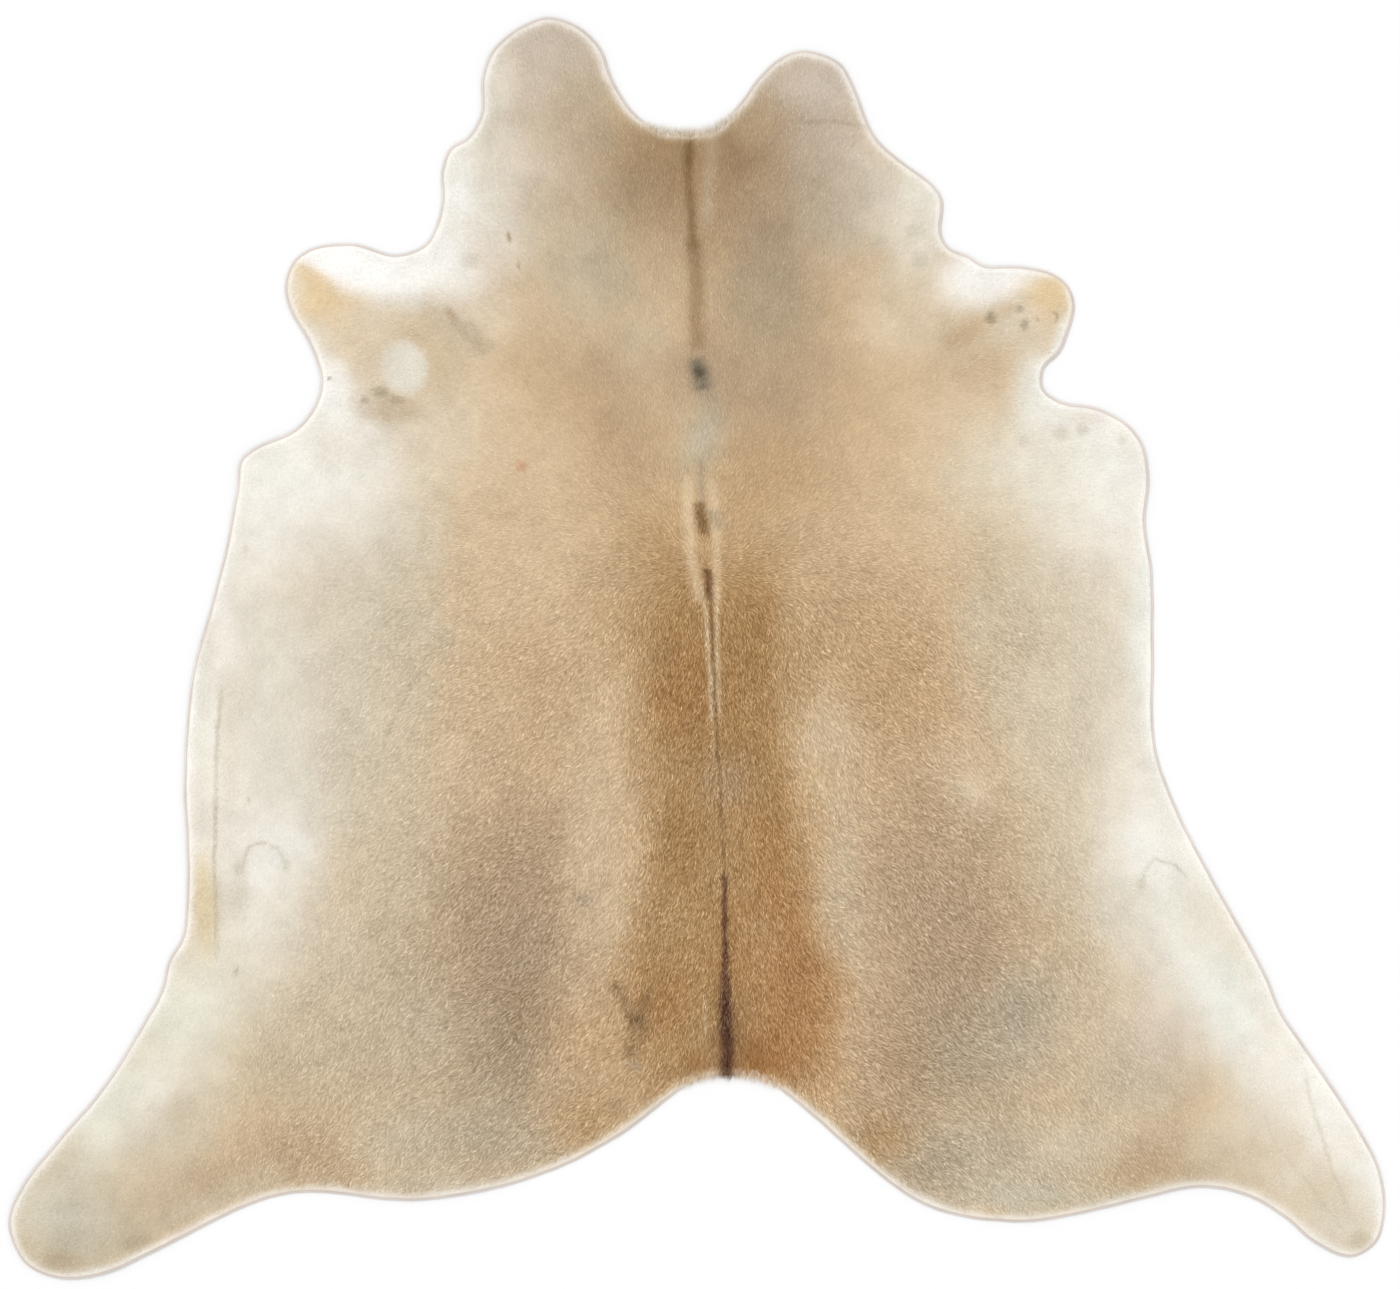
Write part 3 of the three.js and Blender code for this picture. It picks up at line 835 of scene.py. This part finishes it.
def lift_grid(node, inside):
    """How far the solid's underside stands off the floor, smoothed."""
    tree = BVHTree.FromObject(node, bpy.context.evaluated_depsgraph_get())
    upwards = Vector((0, 0, 1))
    lift = np.zeros(inside.shape)
    for row, column in np.argwhere(inside):
        below = Vector((GRID_ACROSS[column] * MM, GRID_ALONG[row] * MM, -1))
        hit = tree.ray_cast(below, upwards)[0]
        if hit is not None:
            lift[row, column] = hit.z / MM
    return blurred(lift) / np.maximum(blurred(inside.astype(float)), LEAST_INSIDE)


RIM = cut_edge(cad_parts["hide"], RIM_STEP)
INSIDE = inside_grid(RIM)
INSET = inset_grid(cut_edge(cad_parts["hide"], RIM_STEP / 3), INSIDE)
LIFT = lift_grid(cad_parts["hide"], INSIDE)


CREASE_REACH = 2  # half widths from its path up to which a crease counts
CREASE_TAPER = 0.3  # share of a crease's length over which its ends flatten
CREASE_END = 0.1  # how far that flattening has come at the very end


def crease_height(x, y, troughs):
    """Height of the ridges, or depth of the troughs, at places."""
    height = np.zeros(x.shape)
    for row in CREASES.values():
        crease = Crease(*row)
        if (crease.height < 0) != troughs:
            continue
        path = np.asarray(crease.path)
        reach = CREASE_REACH * crease.half_width
        low, high = path.min(0) - reach, path.max(0) + reach
        near = (x > low[0]) & (x < high[0]) & (y > low[1]) & (y < high[1])
        distance, position = path_distance(path, x[near], y[near])
        ends = soft(np.minimum(position, 1 - position) / CREASE_TAPER + CREASE_END)
        height[near] += crease.height * ends * np.exp2(-((distance / crease.half_width) ** 2))
    return height


SKIN_WAVES = (Wave(0.9, 230, 21), Wave(0.45, 110, 22), Wave(0.15, 48, 23))
# The skin stands off the floor near its edge by at least the first, and by the second more in places
LEAST_EDGE_LIFT, MORE_EDGE_LIFT = 1.4, 0.9
EDGE_LIFT_REACH = 35
EDGE_LIFT_WAVE = Wave(1, 170, 24)


def underside(x, y):
    """Height of the skin's underside over the floor."""
    wave = with_waves(0, x, y, *SKIN_WAVES)
    edge_lift = LEAST_EDGE_LIFT + MORE_EDGE_LIFT * soft(with_waves(0.5, x, y, EDGE_LIFT_WAVE))
    edge_lift *= 1 - soft(sample(INSET, x, y) / EDGE_LIFT_REACH)
    return np.maximum(sample(LIFT, x, y) + wave + edge_lift + crease_height(x, y, False), 0)


COAT_FOOT = 4.6  # how far inside the cut edge the coat starts
COAT_RISE_WIDTH = 7.0  # and over what width it rises
COAT_SUNK = 0.3  # how deep in the leather its foot lies
COAT_LUMPS = (Wave(0.22, 26, 25), Wave(0.14, 11, 26))


def coat_top(x, y):
    """Height of the dense coat's surface over the floor."""
    grown = soft((sample(INSET, x, y) - COAT_FOOT) / COAT_RISE_WIDTH)
    lumps = with_waves(0, x, y, *COAT_LUMPS)
    depth = (COAT_DEPTH + COAT_SUNK + lumps) * grown - COAT_SUNK
    return underside(x, y) + SKIN_THICKNESS + depth + crease_height(x, y, True) * grown


def scatter(pitch, jitter, margin, seed):
    """Places pitch apart in rows set off by half, each moved at random, deeper inside than margin."""
    random = np.random.default_rng(seed)
    rows = np.arange(GRID_ALONG[0], GRID_ALONG[-1], pitch * math.sqrt(3) / 2)
    columns = np.arange(GRID_ACROSS[0], GRID_ACROSS[-1], pitch)
    x, y = np.meshgrid(columns, rows)
    x[::2] += pitch / 2
    x += random.uniform(-jitter, jitter, x.shape) * pitch
    y += random.uniform(-jitter, jitter, y.shape) * pitch
    kept = sample(INSET, x, y) > margin
    return np.stack([x[kept], y[kept]], 1)


INSIDE_ONLY = 1  # Blender's number for triangles inside the loop
SAME_PLACE = 1e-7


def fill(loop, inner):
    """Triangles that fill the loop and join the places inside it; both are numbered in that order."""
    places = [Vector(place) for place in np.vstack([loop, inner])]
    edges = [(i, (i + 1) % len(loop)) for i in range(len(loop))]
    return np.array(delaunay_2d_cdt(places, edges, [], INSIDE_ONLY, SAME_PLACE)[2])


def strip(first, second, count):
    """Triangles between two rings of count places each, which are numbered from first and second."""
    here = np.arange(count)
    there = (here + 1) % count
    one = np.stack([first + here, second + here, second + there], 1)
    other = np.stack([first + here, second + there, first + there], 1)
    return np.vstack([one, other])


def to_linear(tint):
    """Linear light of sRGB values, by the standard's formula."""
    return np.where(tint < 0.04045, tint / 12.92, ((tint + 0.055) / 1.055) ** 2.4)


def added(name, data):
    """A new object of the scene."""
    item = bpy.data.objects.new(name, data)
    bpy.context.scene.collection.objects.link(item)
    return item


def make_piece(name, places, faces, tint, material, smooth):
    """A mesh of triangles, its places in millimetres, with a colour at each place."""
    mesh = bpy.data.meshes.new(name)
    mesh.vertices.add(len(places))
    mesh.vertices.foreach_set("co", (places * MM).astype(np.float32).ravel())
    mesh.loops.add(faces.size)
    mesh.loops.foreach_set("vertex_index", faces.astype(np.int32).ravel())
    mesh.polygons.add(len(faces))
    mesh.polygons.foreach_set("loop_start", np.arange(0, faces.size, 3, dtype=np.int32))
    mesh.polygons.foreach_set("use_smooth", np.full(len(faces), smooth))
    mesh.update(calc_edges=True)
    colour = mesh.color_attributes.new("tint", "FLOAT_COLOR", "POINT")
    rgba = np.ones((len(places), 4), np.float32)
    rgba[:, :3] = to_linear(np.clip(tint, 0, 1))
    colour.data.foreach_set("color", rgba.ravel())
    mesh.materials.append(material)
    piece = added(name, mesh)
    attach(piece, "root")
    return piece


def lay_map(piece, faces, places, shift=0.0, share=1.0):
    """A flat map of the piece seen from above; shift and share place it across the map, by face."""
    low, high = places[:, :2].min(0), places[:, :2].max(0)
    flat = (places[faces][:, :, :2] - low) / (high - low)
    flat[:, :, 0] = flat[:, :, 0] * share + np.reshape(shift, (-1, 1))
    layer = piece.data.uv_layers.new(name="OFBake")
    layer.data.foreach_set("uv", flat.astype(np.float32).ravel())


# Materials

ALBEDO = 0.935  # share of the tint that the hair sends back, set with the light


def set_inputs(node, values):
    for name, value in values.items():
        node.inputs[name].default_value = value


def new_material(name, roughness, specular, sheen):
    material = bpy.data.materials.new(name)
    material.use_nodes = True
    shader = material.node_tree.nodes["Principled BSDF"]
    set_inputs(shader, {"Roughness": roughness, "Specular IOR Level": specular})
    set_inputs(shader, {"Sheen Weight": sheen, "Sheen Roughness": 0.5})
    return material, material.node_tree, shader


def noise(tree, scale, detail=2.0, stretch=(1, 1, 1)):
    """A noise over the object's own metres, from 0 to 1."""
    place = tree.nodes.new("ShaderNodeTexCoord")
    mapping = tree.nodes.new("ShaderNodeMapping")
    set_inputs(mapping, {"Scale": stretch})
    texture = tree.nodes.new("ShaderNodeTexNoise")
    set_inputs(texture, {"Scale": scale, "Detail": detail})
    tree.links.new(place.outputs["Object"], mapping.inputs["Vector"])
    tree.links.new(mapping.outputs["Vector"], texture.inputs["Vector"])
    return texture.outputs["Fac"]


def remap(tree, value, low, high):
    """A value that goes from low to high as the noise goes over the middle half of its range."""
    node = tree.nodes.new("ShaderNodeMapRange")
    set_inputs(node, {"From Min": 0.25, "From Max": 0.75, "To Min": low, "To Max": high})
    tree.links.new(value, node.inputs["Value"])
    return node.outputs["Result"]


def tinted(tree, shader, factors):
    """The shader's colour is the piece's own tint times each factor."""
    tint = tree.nodes.new("ShaderNodeAttribute")
    tint.attribute_name = "tint"
    colour = tint.outputs["Color"]
    for factor in factors:
        scaled = tree.nodes.new("ShaderNodeVectorMath")
        scaled.operation = "SCALE"
        tree.links.new(colour, scaled.inputs["Vector"])
        tree.links.new(factor, scaled.inputs["Scale"])
        colour = scaled.outputs["Vector"]
    tree.links.new(colour, shader.inputs["Base Color"])


def vary_roughness(tree, shader, scale, low, high):
    tree.links.new(remap(tree, noise(tree, scale), low, high), shader.inputs["Roughness"])


def bump(tree, shader, height, strength, distance):
    node = tree.nodes.new("ShaderNodeBump")
    set_inputs(node, {"Strength": strength, "Distance": distance})
    tree.links.new(height, node.inputs["Height"])
    tree.links.new(node.outputs["Normal"], shader.inputs["Normal"])


def hair_material():
    material, tree, shader = new_material("hair", roughness=0.62, specular=0.2, sheen=0.02)
    tinted(tree, shader, [remap(tree, noise(tree, 160), 0.95 * ALBEDO, 1.05 * ALBEDO)])
    vary_roughness(tree, shader, 60, 0.52, 0.7)
    return material


def coat_material():
    material, tree, shader = new_material("dense_coat", roughness=0.85, specular=0.1, sheen=0.02)
    strands = noise(tree, 420, 4.0, stretch=(1, 0.35, 1))
    tinted(tree, shader, [remap(tree, strands, 0.92 * ALBEDO, 1.0 * ALBEDO)])
    vary_roughness(tree, shader, 90, 0.75, 0.95)
    bump(tree, shader, strands, strength=0.35, distance=0.0012)
    return material


def leather_material():
    material, tree, shader = new_material("tanned_leather", roughness=0.8, specular=0.25, sheen=0.15)
    stains = remap(tree, noise(tree, 14), 0.9, 1.05)
    fibres = remap(tree, noise(tree, 300, 6.0), 0.93, 1.04)
    tinted(tree, shader, [stains, fibres])
    vary_roughness(tree, shader, 40, 0.7, 0.92)
    bump(tree, shader, noise(tree, 700, 8.0), strength=0.5, distance=0.0006)
    return material


# The tanned skin, a closed sheet

LEATHER_TOP_TONE = np.array([240, 233, 222])
SUEDE_TONE = np.array([206, 194, 174])
# The cut's grey: partly the leather's own grey core, partly painted shade along the edge
CUT_FOOT_TONE = (206, 198, 194)

# The cut edge's section from the hair side to the underside: distance inside the edge, height and tone
Ring = namedtuple("Ring", "inset height tone")
RINGS = [
    Ring(6.0, SKIN_THICKNESS, LEATHER_TOP_TONE),
    # The greys of these rings, down to the cut's foot, are partly the leather's own core and partly painted
    # shade of the dark line along the edge
    Ring(4.0, 2.3, (186, 178, 171)),
    Ring(2.8, 2.0, (182, 173, 168)),
    Ring(1.2, 1.4, CUT_FOOT_TONE),
    Ring(0.0, 0.6, CUT_FOOT_TONE),
    Ring(0.3, 0.1, SUEDE_TONE),
    Ring(1.4, 0.0, SUEDE_TONE),
]
FIRST_SUEDE_STRIP = 4  # strips between rings from this one on belong to the underside
RIM_HAIR_SHARE = 0.75  # how far the bare rim takes the tone of the hair beside it
CUT_HAIR_SHARE = 0.22  # how far the cut darkens where the hair beside it is brown
RIM_LIGHT = 0.87  # smooth leather looks lighter than hair of its tone, so its tone is lower
KNIFE_WANDER = (Wave(0.5, 34, 31), Wave(0.25, 11, 32))  # how the knife strayed from the outline


def make_skin():
    wander = with_waves(0, *RIM.T, *KNIFE_WANDER)
    rings = [moved_in(RIM, wander + ring.inset) for ring in RINGS]
    count = len(RIM)
    top_inner = scatter(SKIN_PITCH, jitter=0.15, margin=12, seed=33)
    under_inner = scatter(SKIN_PITCH, jitter=0.15, margin=10, seed=34)
    layers = [np.column_stack([loop, underside(*loop.T) + ring.height]) for loop, ring in zip(rings, RINGS)]
    layers.append(np.column_stack([top_inner, underside(*top_inner.T) + SKIN_THICKNESS]))
    layers.append(np.column_stack([under_inner, underside(*under_inner.T)]))
    places = np.vstack(layers)
    last = len(rings) - 1
    top_start = len(rings) * count
    under_start = top_start + len(top_inner)

    top = fill(rings[0], top_inner)
    top = np.where(top < count, top, top - count + top_start)
    under = fill(rings[last], under_inner)[:, ::-1]
    under = np.where(under < count, under + last * count, under - count + under_start)
    strips = [strip(ring * count, (ring + 1) * count, count) for ring in range(last)]
    faces = np.vstack([top, *strips, under])
    on_underside = np.zeros(len(faces), bool)
    on_underside[len(top) + FIRST_SUEDE_STRIP * 2 * count :] = True

    hidden = fringe_share(*RIM.T)[:, None]
    hair_there = 255 * hair_tint(*rings[0].T, sample(INSET, *rings[0].T))
    hair_inside = 255 * hair_tint(*rings[0].T, np.full(count, DEEP_INSIDE))
    browning = 1 - CUT_HAIR_SHARE * (1 - hair_inside / TONES["ivory"])
    tones = [hidden * RIM_LIGHT * hair_there + (1 - hidden) * browning * ring.tone for ring in RINGS]
    tones[0] = RIM_LIGHT * (RIM_HAIR_SHARE * hair_there + (1 - RIM_HAIR_SHARE) * LEATHER_TOP_TONE)
    tones.append(np.tile(LEATHER_TOP_TONE, (len(top_inner), 1)))
    tones.append(np.tile(SUEDE_TONE, (len(under_inner), 1)))
    skin = make_piece("hide_skin", places, faces, np.vstack(tones) / 255, leather_material(), True)
    lay_map(skin, faces, places, shift=np.where(on_underside, 0.5, 0.0), share=0.5)
    return skin


# The dense coat over the skin

COAT_RING_INSETS = (COAT_FOOT, 6.0, 7.8, 10.0)
COAT_MARGIN = COAT_RING_INSETS[-1] + 3
# Painted shade: the coat, seen between the hairs, is darker than the hairs by this much, more where the coat
# is dark
LIGHT_COAT_PAINTED_SHADE = 0.035
DARK_COAT_PAINTED_SHADE = 0.145


def make_coat():
    rings = [moved_in(RIM, inset) for inset in COAT_RING_INSETS]
    inner = np.vstack([*rings[1:], scatter(COAT_PITCH, jitter=0.2, margin=COAT_MARGIN, seed=41)])
    flat = np.vstack([rings[0], inner])
    x, y = flat.T
    places = np.column_stack([flat, coat_top(x, y)])
    faces = fill(rings[0], inner)
    tint = hair_tint(x, y, sample(INSET, x, y))
    rough = grain(tint, x, y)[:, None]
    dark = darkness(tint)[:, None]
    tint *= 1 - PALE_HOLD * (1 - dark)
    # Painted shade for the shade that smooth brown hair lacks
    tint -= SMOOTH_HAIR_PAINTED_SHADE * (dark - rough)
    # Painted shade of the coat between the hairs
    tint -= LIGHT_COAT_PAINTED_SHADE + (DARK_COAT_PAINTED_SHADE - LIGHT_COAT_PAINTED_SHADE) * rough
    coat = make_piece("hide_coat", places, faces, tint, coat_material(), True)
    lay_map(coat, faces, places)
    return coat


# The hair that lies on the coat

CROWN_ALONG = 110  # the hair parts here on the spine: ahead of it, it lies towards the neck
Lie = namedtuple("Lie", "from_spine degrees")

# How far the hair behind the crown turns outwards from tailwards
LIES = [
    Lie(0, 3),
    Lie(60, 12),
    Lie(250, 46),
    Lie(500, 50),
    Lie(700, 36),
    Lie(850, 24),
    Lie(1000, 42),
    Lie(1150, 50),
]


CROWN_FADE = 260  # length over which the lie of the hair turns over at the crown
CROWN_SPREAD = 10
CHEEK_START, CHEEK_WIDTH = 150, 500  # this far from the spine the hair ahead of the crown turns back
CHEEK_TURN = 0.8
LIE_WANDER = (Wave(0.24, 85, 51), Wave(0.16, 24, 52))  # in radians


def hair_direction(x, y):
    """Unit vector along which the hair lies at places."""
    out = x - spine_across(y)
    distance = np.abs(out)
    turn = np.radians(np.interp(distance, [lie.from_spine for lie in LIES], [lie.degrees for lie in LIES]))
    ahead = np.stack([distance + CROWN_SPREAD, y - CROWN_ALONG], 1)
    ahead /= np.hypot(*ahead.T)[:, None]
    ahead[:, 1] -= CHEEK_TURN * soft((distance - CHEEK_START) / CHEEK_WIDTH)
    share = soft((y - CROWN_ALONG) / CROWN_FADE + 0.5)[:, None]
    flow = np.stack([np.sin(turn), -np.cos(turn)], 1) * (1 - share) + ahead * share
    flow[:, 0] *= np.where(out < 0, -1, 1)
    flow /= np.hypot(*flow.T)[:, None]
    return turned(flow, with_waves(0, x, y, *LIE_WANDER))


def turned(flow, angle):
    """Unit vectors turned counter-clockwise by angles in radians."""
    cos, sin = np.cos(angle), np.sin(angle)
    return np.stack([flow[:, 0] * cos - flow[:, 1] * sin, flow[:, 0] * sin + flow[:, 1] * cos], 1)


TUFT_CELLS = 512
TUFT_STRETCH = 1.35  # a tuft is this much longer along the hair than across it


def tufts(x, y, flow, seed):
    """The middle of the tuft that each hair belongs to, and two random numbers of that tuft."""
    random = np.random.default_rng(seed).uniform(0, 1, (TUFT_CELLS, TUFT_CELLS, 4))
    column, row = np.floor(x / CLUMP_PITCH).astype(int), np.floor(y / CLUMP_PITCH).astype(int)
    nearest = np.full(x.shape, np.inf)
    middle = np.zeros((len(x), 2))
    values = np.zeros((len(x), 2))
    for right in (-1, 0, 1):
        for up in (-1, 0, 1):
            cell = random[(row + up) % TUFT_CELLS, (column + right) % TUFT_CELLS]
            across = (column + right + cell[:, 0]) * CLUMP_PITCH
            along = (row + up + cell[:, 1]) * CLUMP_PITCH
            off = np.stack([x - across, y - along], 1)
            lengthwise = (off * flow).sum(1) / TUFT_STRETCH
            sideways = off[:, 0] * flow[:, 1] - off[:, 1] * flow[:, 0]
            distance = np.hypot(lengthwise, sideways)
            closer = distance < nearest
            nearest = np.where(closer, distance, nearest)
            middle[closer] = np.stack([across, along], 1)[closer]
            values[closer] = cell[closer, 2:]
    return middle, values


HAIR_FOOT = 6.2  # hair grows deeper inside the cut edge than this
TIP_INSET = 4.8  # and its tips end inside it, but for the fringes
TUFT_PULL = 0.5  # how far a hair's tip is drawn to the middle of its tuft
TUFT_TURN = 0.8  # radians over which tufts point apart
HAIR_SPREAD, FRINGE_SPREAD = 0.2, 0.15  # radians by which hairs stray, and how much more in the fringes
LENGTH_SHARES = (0.75, 1.15)  # the shortest and longest hair's share of HAIR_LENGTH
WIDTH_SHARES = (0.75, 1.25)
LEG_HAIR_START, LEG_HAIR_FADE = 560, 300  # hair further from the middle than this is shorter
LEG_HAIR_LOSS = 0.3
LEAST_LENGTH_SHARE = 0.15  # a hair held back at the edge keeps this much of its length

ROOT_SUNK = 0.1
LEAST_RISE = 0.35  # a tip stands at least this far off the coat
HAIR_RISE, TUFT_RISE = 1.1, 0.8  # how much of RISE depends on the hair and how much on its tuft
TUFT_ROLL = 1.2

# In the fringes the hairs are looser, finer and longer, and grow nearer to the edge
LEAST_FRINGE = 0.1  # share of the fringe from which on more hairs grow
LOOSE_HAIR = 0.5  # and from which on they may hang past the cut edge
FRINGE_PITCH = 1.4
FRINGE_DEPTH = 16.0  # fringes have more hairs up to this far inside the edge
FRINGE_FOOT_SHIFT = 4
FRINGE_LENGTH = 12
FRINGE_LENGTH_SHARES = (-0.3, 1)
FRINGE_THINNING = 0.5
FRINGE_DROP = 1.5  # how far a tip outside the edge hangs below its root
FRINGE_SCATTER = 6.0  # mm by which pale and brown hairs mix in the fringe
FRINGE_FLOOR_GAP = 1.0  # and how high it still is over the floor

# Measures that grow with the grain of the hair: on white hair, and how much more on the trunk's brown hair
ByGrain = namedtuple("ByGrain", "smooth more")
ROLL = ByGrain(0.02, 0.25)  # radians by which blades tip sideways
RISE = ByGrain(0.35, 0.7)
SHADE = ByGrain(0.003, 0.1)  # how much hairs differ in tint
TUFT_SHADE = ByGrain(0.003, 0.03)  # how much tufts differ
# Painted shade at each hair's root and painted light at its tip, by these
ROOT_PAINTED_SHADE = ByGrain(0.01, 0.07)
TIP_PAINTED_LIGHT = ByGrain(0, 0.03)


def by_grain(measure, rough):
    return measure.smooth + measure.more * rough


def grow_hair():
    """Places, faces and colours of all hairs. Each hair is one blade: two root corners and a tip."""
    random = np.random.default_rng(61)
    fringe = scatter(FRINGE_PITCH, jitter=0.5, margin=1.0, seed=65)
    fringe = fringe[(fringe_share(*fringe.T) > LEAST_FRINGE) & (sample(INSET, *fringe.T) < FRINGE_DEPTH)]
    roots = np.vstack([scatter(HAIR_PITCH, jitter=0.5, margin=1.2, seed=62), fringe])
    x, y = roots.T
    inset = sample(INSET, x, y)
    loose = fringe_share(x, y)
    kept = inset > HAIR_FOOT - FRINGE_FOOT_SHIFT * loose
    roots, x, y, inset, loose = roots[kept], x[kept], y[kept], inset[kept], loose[kept]
    count = len(roots)

    flow = hair_direction(x, y)
    middle, tuft = tufts(x, y, flow, 63)
    spread = HAIR_SPREAD + FRINGE_SPREAD * loose
    flow = turned(flow, TUFT_TURN * (tuft[:, 0] - 0.5) + spread * random.normal(0, 1, count))
    length = HAIR_LENGTH * random.uniform(*LENGTH_SHARES, count)
    length += FRINGE_LENGTH * loose * random.uniform(*FRINGE_LENGTH_SHARES, count)
    length *= 1 - LEG_HAIR_LOSS * soft((np.abs(x) - LEG_HAIR_START) / LEG_HAIR_FADE)
    tips = roots + flow * length[:, None]
    tips += TUFT_PULL * (middle - roots)
    over = TIP_INSET - sample(INSET, *tips.T)
    over = np.where(loose > LOOSE_HAIR, 0, np.maximum(over, 0))
    depth = np.maximum(inset - sample(INSET, *tips.T), 0.5)
    tips = roots + (tips - roots) * np.clip(1 - over / depth, LEAST_LENGTH_SHARE, 1)[:, None]

    sideways = np.stack([-flow[:, 1], flow[:, 0]], 1)
    tint = hair_tint(x, y, inset + FRINGE_SCATTER * loose * random.normal(0, 1, count))
    dark = darkness(tint)
    rough = grain(tint, x, y)
    tint *= 1 - PALE_HOLD * (1 - dark[:, None])
    # Painted shade for the shade that smooth brown hair lacks
    tint -= SMOOTH_HAIR_PAINTED_SHADE * (dark - rough)[:, None]
    roll = by_grain(ROLL, rough) * (random.normal(0, 1, count) + TUFT_ROLL * (tuft[:, 1] - 0.5))
    half = HAIR_WIDTH * random.uniform(*WIDTH_SHARES, count) / 2
    half *= HAIR_PITCH / FULL_HAIR_PITCH * (1 - FRINGE_THINNING * loose)
    beside = np.column_stack([sideways * (half * np.cos(roll))[:, None], half * np.sin(roll)])
    foot = np.column_stack([roots, coat_top(x, y) - ROOT_SUNK])
    rise = by_grain(RISE, rough) * (HAIR_RISE * random.uniform(0, 1, count) + TUFT_RISE * tuft[:, 0])
    rise += LEAST_RISE
    lowest = np.where(loose > LOOSE_HAIR, FRINGE_FLOOR_GAP, 0.0)
    tip_height = np.where(sample(INSET, *tips.T) > 0, coat_top(*tips.T), foot[:, 2] - FRINGE_DROP)
    end = np.column_stack([tips, np.maximum(tip_height + rise, lowest)])

    places = np.stack([foot + beside, foot - beside, end], 1).reshape(-1, 3)
    faces = np.arange(3 * count).reshape(-1, 3)[:, ::-1]
    shade = by_grain(SHADE, rough) * random.normal(0, 1, count)
    shade += by_grain(TUFT_SHADE, rough) * (tuft[:, 1] - 0.5) * 2
    # The roots get painted shade and the tips painted light
    root_tint = tint + (shade - by_grain(ROOT_PAINTED_SHADE, rough))[:, None]
    tip_tint = tint + (shade + by_grain(TIP_PAINTED_LIGHT, rough))[:, None]
    tints = np.stack([root_tint, root_tint, tip_tint], 1).reshape(-1, 3)
    return places, faces, tints, y


HAIR_BANDS = ("hair_rump", "hair_belly", "hair_shoulders", "hair_neck")


def make_hair():
    places, faces, tints, along = grow_hair()
    material = hair_material()
    order = np.argsort(along, kind="stable")
    bands = []
    for name, hairs in zip(HAIR_BANDS, np.array_split(order, len(HAIR_BANDS))):
        corners = (hairs[:, None] * 3 + np.arange(3)).ravel()
        band_places = places[corners]
        band_faces = np.arange(len(corners)).reshape(-1, 3)[:, ::-1]
        band = make_piece(name, band_places, band_faces, tints[corners], material, False)
        lay_map(band, band_faces, band_places)
        bands.append(band)
    return bands


# The floor, the light and the camera

CAMERA_HEIGHT = 4.0
CAMERA_REACH = 100
SENSOR_WIDTH_MM = 36.0
FLOOR_SIZE = 40.0
FLOOR_GAP = 0.0003
FLOOR_ALBEDO = 0.637


def make_floor():
    side = FLOOR_SIZE / 2
    mesh = bpy.data.meshes.new("floor")
    corners = [(-side, -side), (side, -side), (side, side), (-side, side)]
    mesh.from_pydata([(x, y, -FLOOR_GAP) for x, y in corners], [], [(0, 1, 2, 3)])
    material, tree, shader = new_material("floor", roughness=0.9, specular=0.1, sheen=0)
    set_inputs(shader, {"Base Color": (*[FLOOR_ALBEDO] * 3, 1)})
    mesh.materials.append(material)
    floor = added("floor", mesh)


def make_sun(name, tilt, turn, width, strength):
    """A soft light from far away, tilted from straight down and turned about the upright, in degrees."""
    lamp = bpy.data.lights.new(name, "SUN")
    lamp.angle = math.radians(width)
    lamp.energy = strength
    light = added(name, lamp)
    light.rotation_euler = (math.radians(tilt), 0, math.radians(turn))


def make_world(strength):
    world = bpy.data.worlds.new("studio")
    world.use_nodes = True
    set_inputs(world.node_tree.nodes["Background"], {"Color": (1, 1, 1, 1), "Strength": strength})
    bpy.context.scene.world = world


def make_camera():
    """Straight above the hide, with the photo's frame about it."""
    centre_across = (PHOTO_WIDTH_PX / 2 - ORIGIN_PX[0]) * MM_PER_PX
    centre_along = (ORIGIN_PX[1] - PHOTO_HEIGHT_PX / 2) * MM_PER_PX
    lens = bpy.data.cameras.new("camera")
    lens.sensor_width = SENSOR_WIDTH_MM
    lens.lens = SENSOR_WIDTH_MM * CAMERA_HEIGHT / (PHOTO_WIDTH_PX * MM_PER_PX * MM)
    lens.clip_end = CAMERA_REACH
    camera = added("camera", lens)
    camera.location = (centre_across * MM, centre_along * MM, CAMERA_HEIGHT)
    bpy.context.scene.camera = camera


skin = make_skin()
coat = make_coat()
hair = make_hair()
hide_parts("hide")

make_floor()
make_world(strength=1.05)
make_sun("overhead", tilt=0, turn=0, width=60, strength=0.93)
make_sun("key", tilt=40, turn=215, width=25, strength=0.93)
make_camera()
bpy.context.scene.view_settings.view_transform = "Standard"
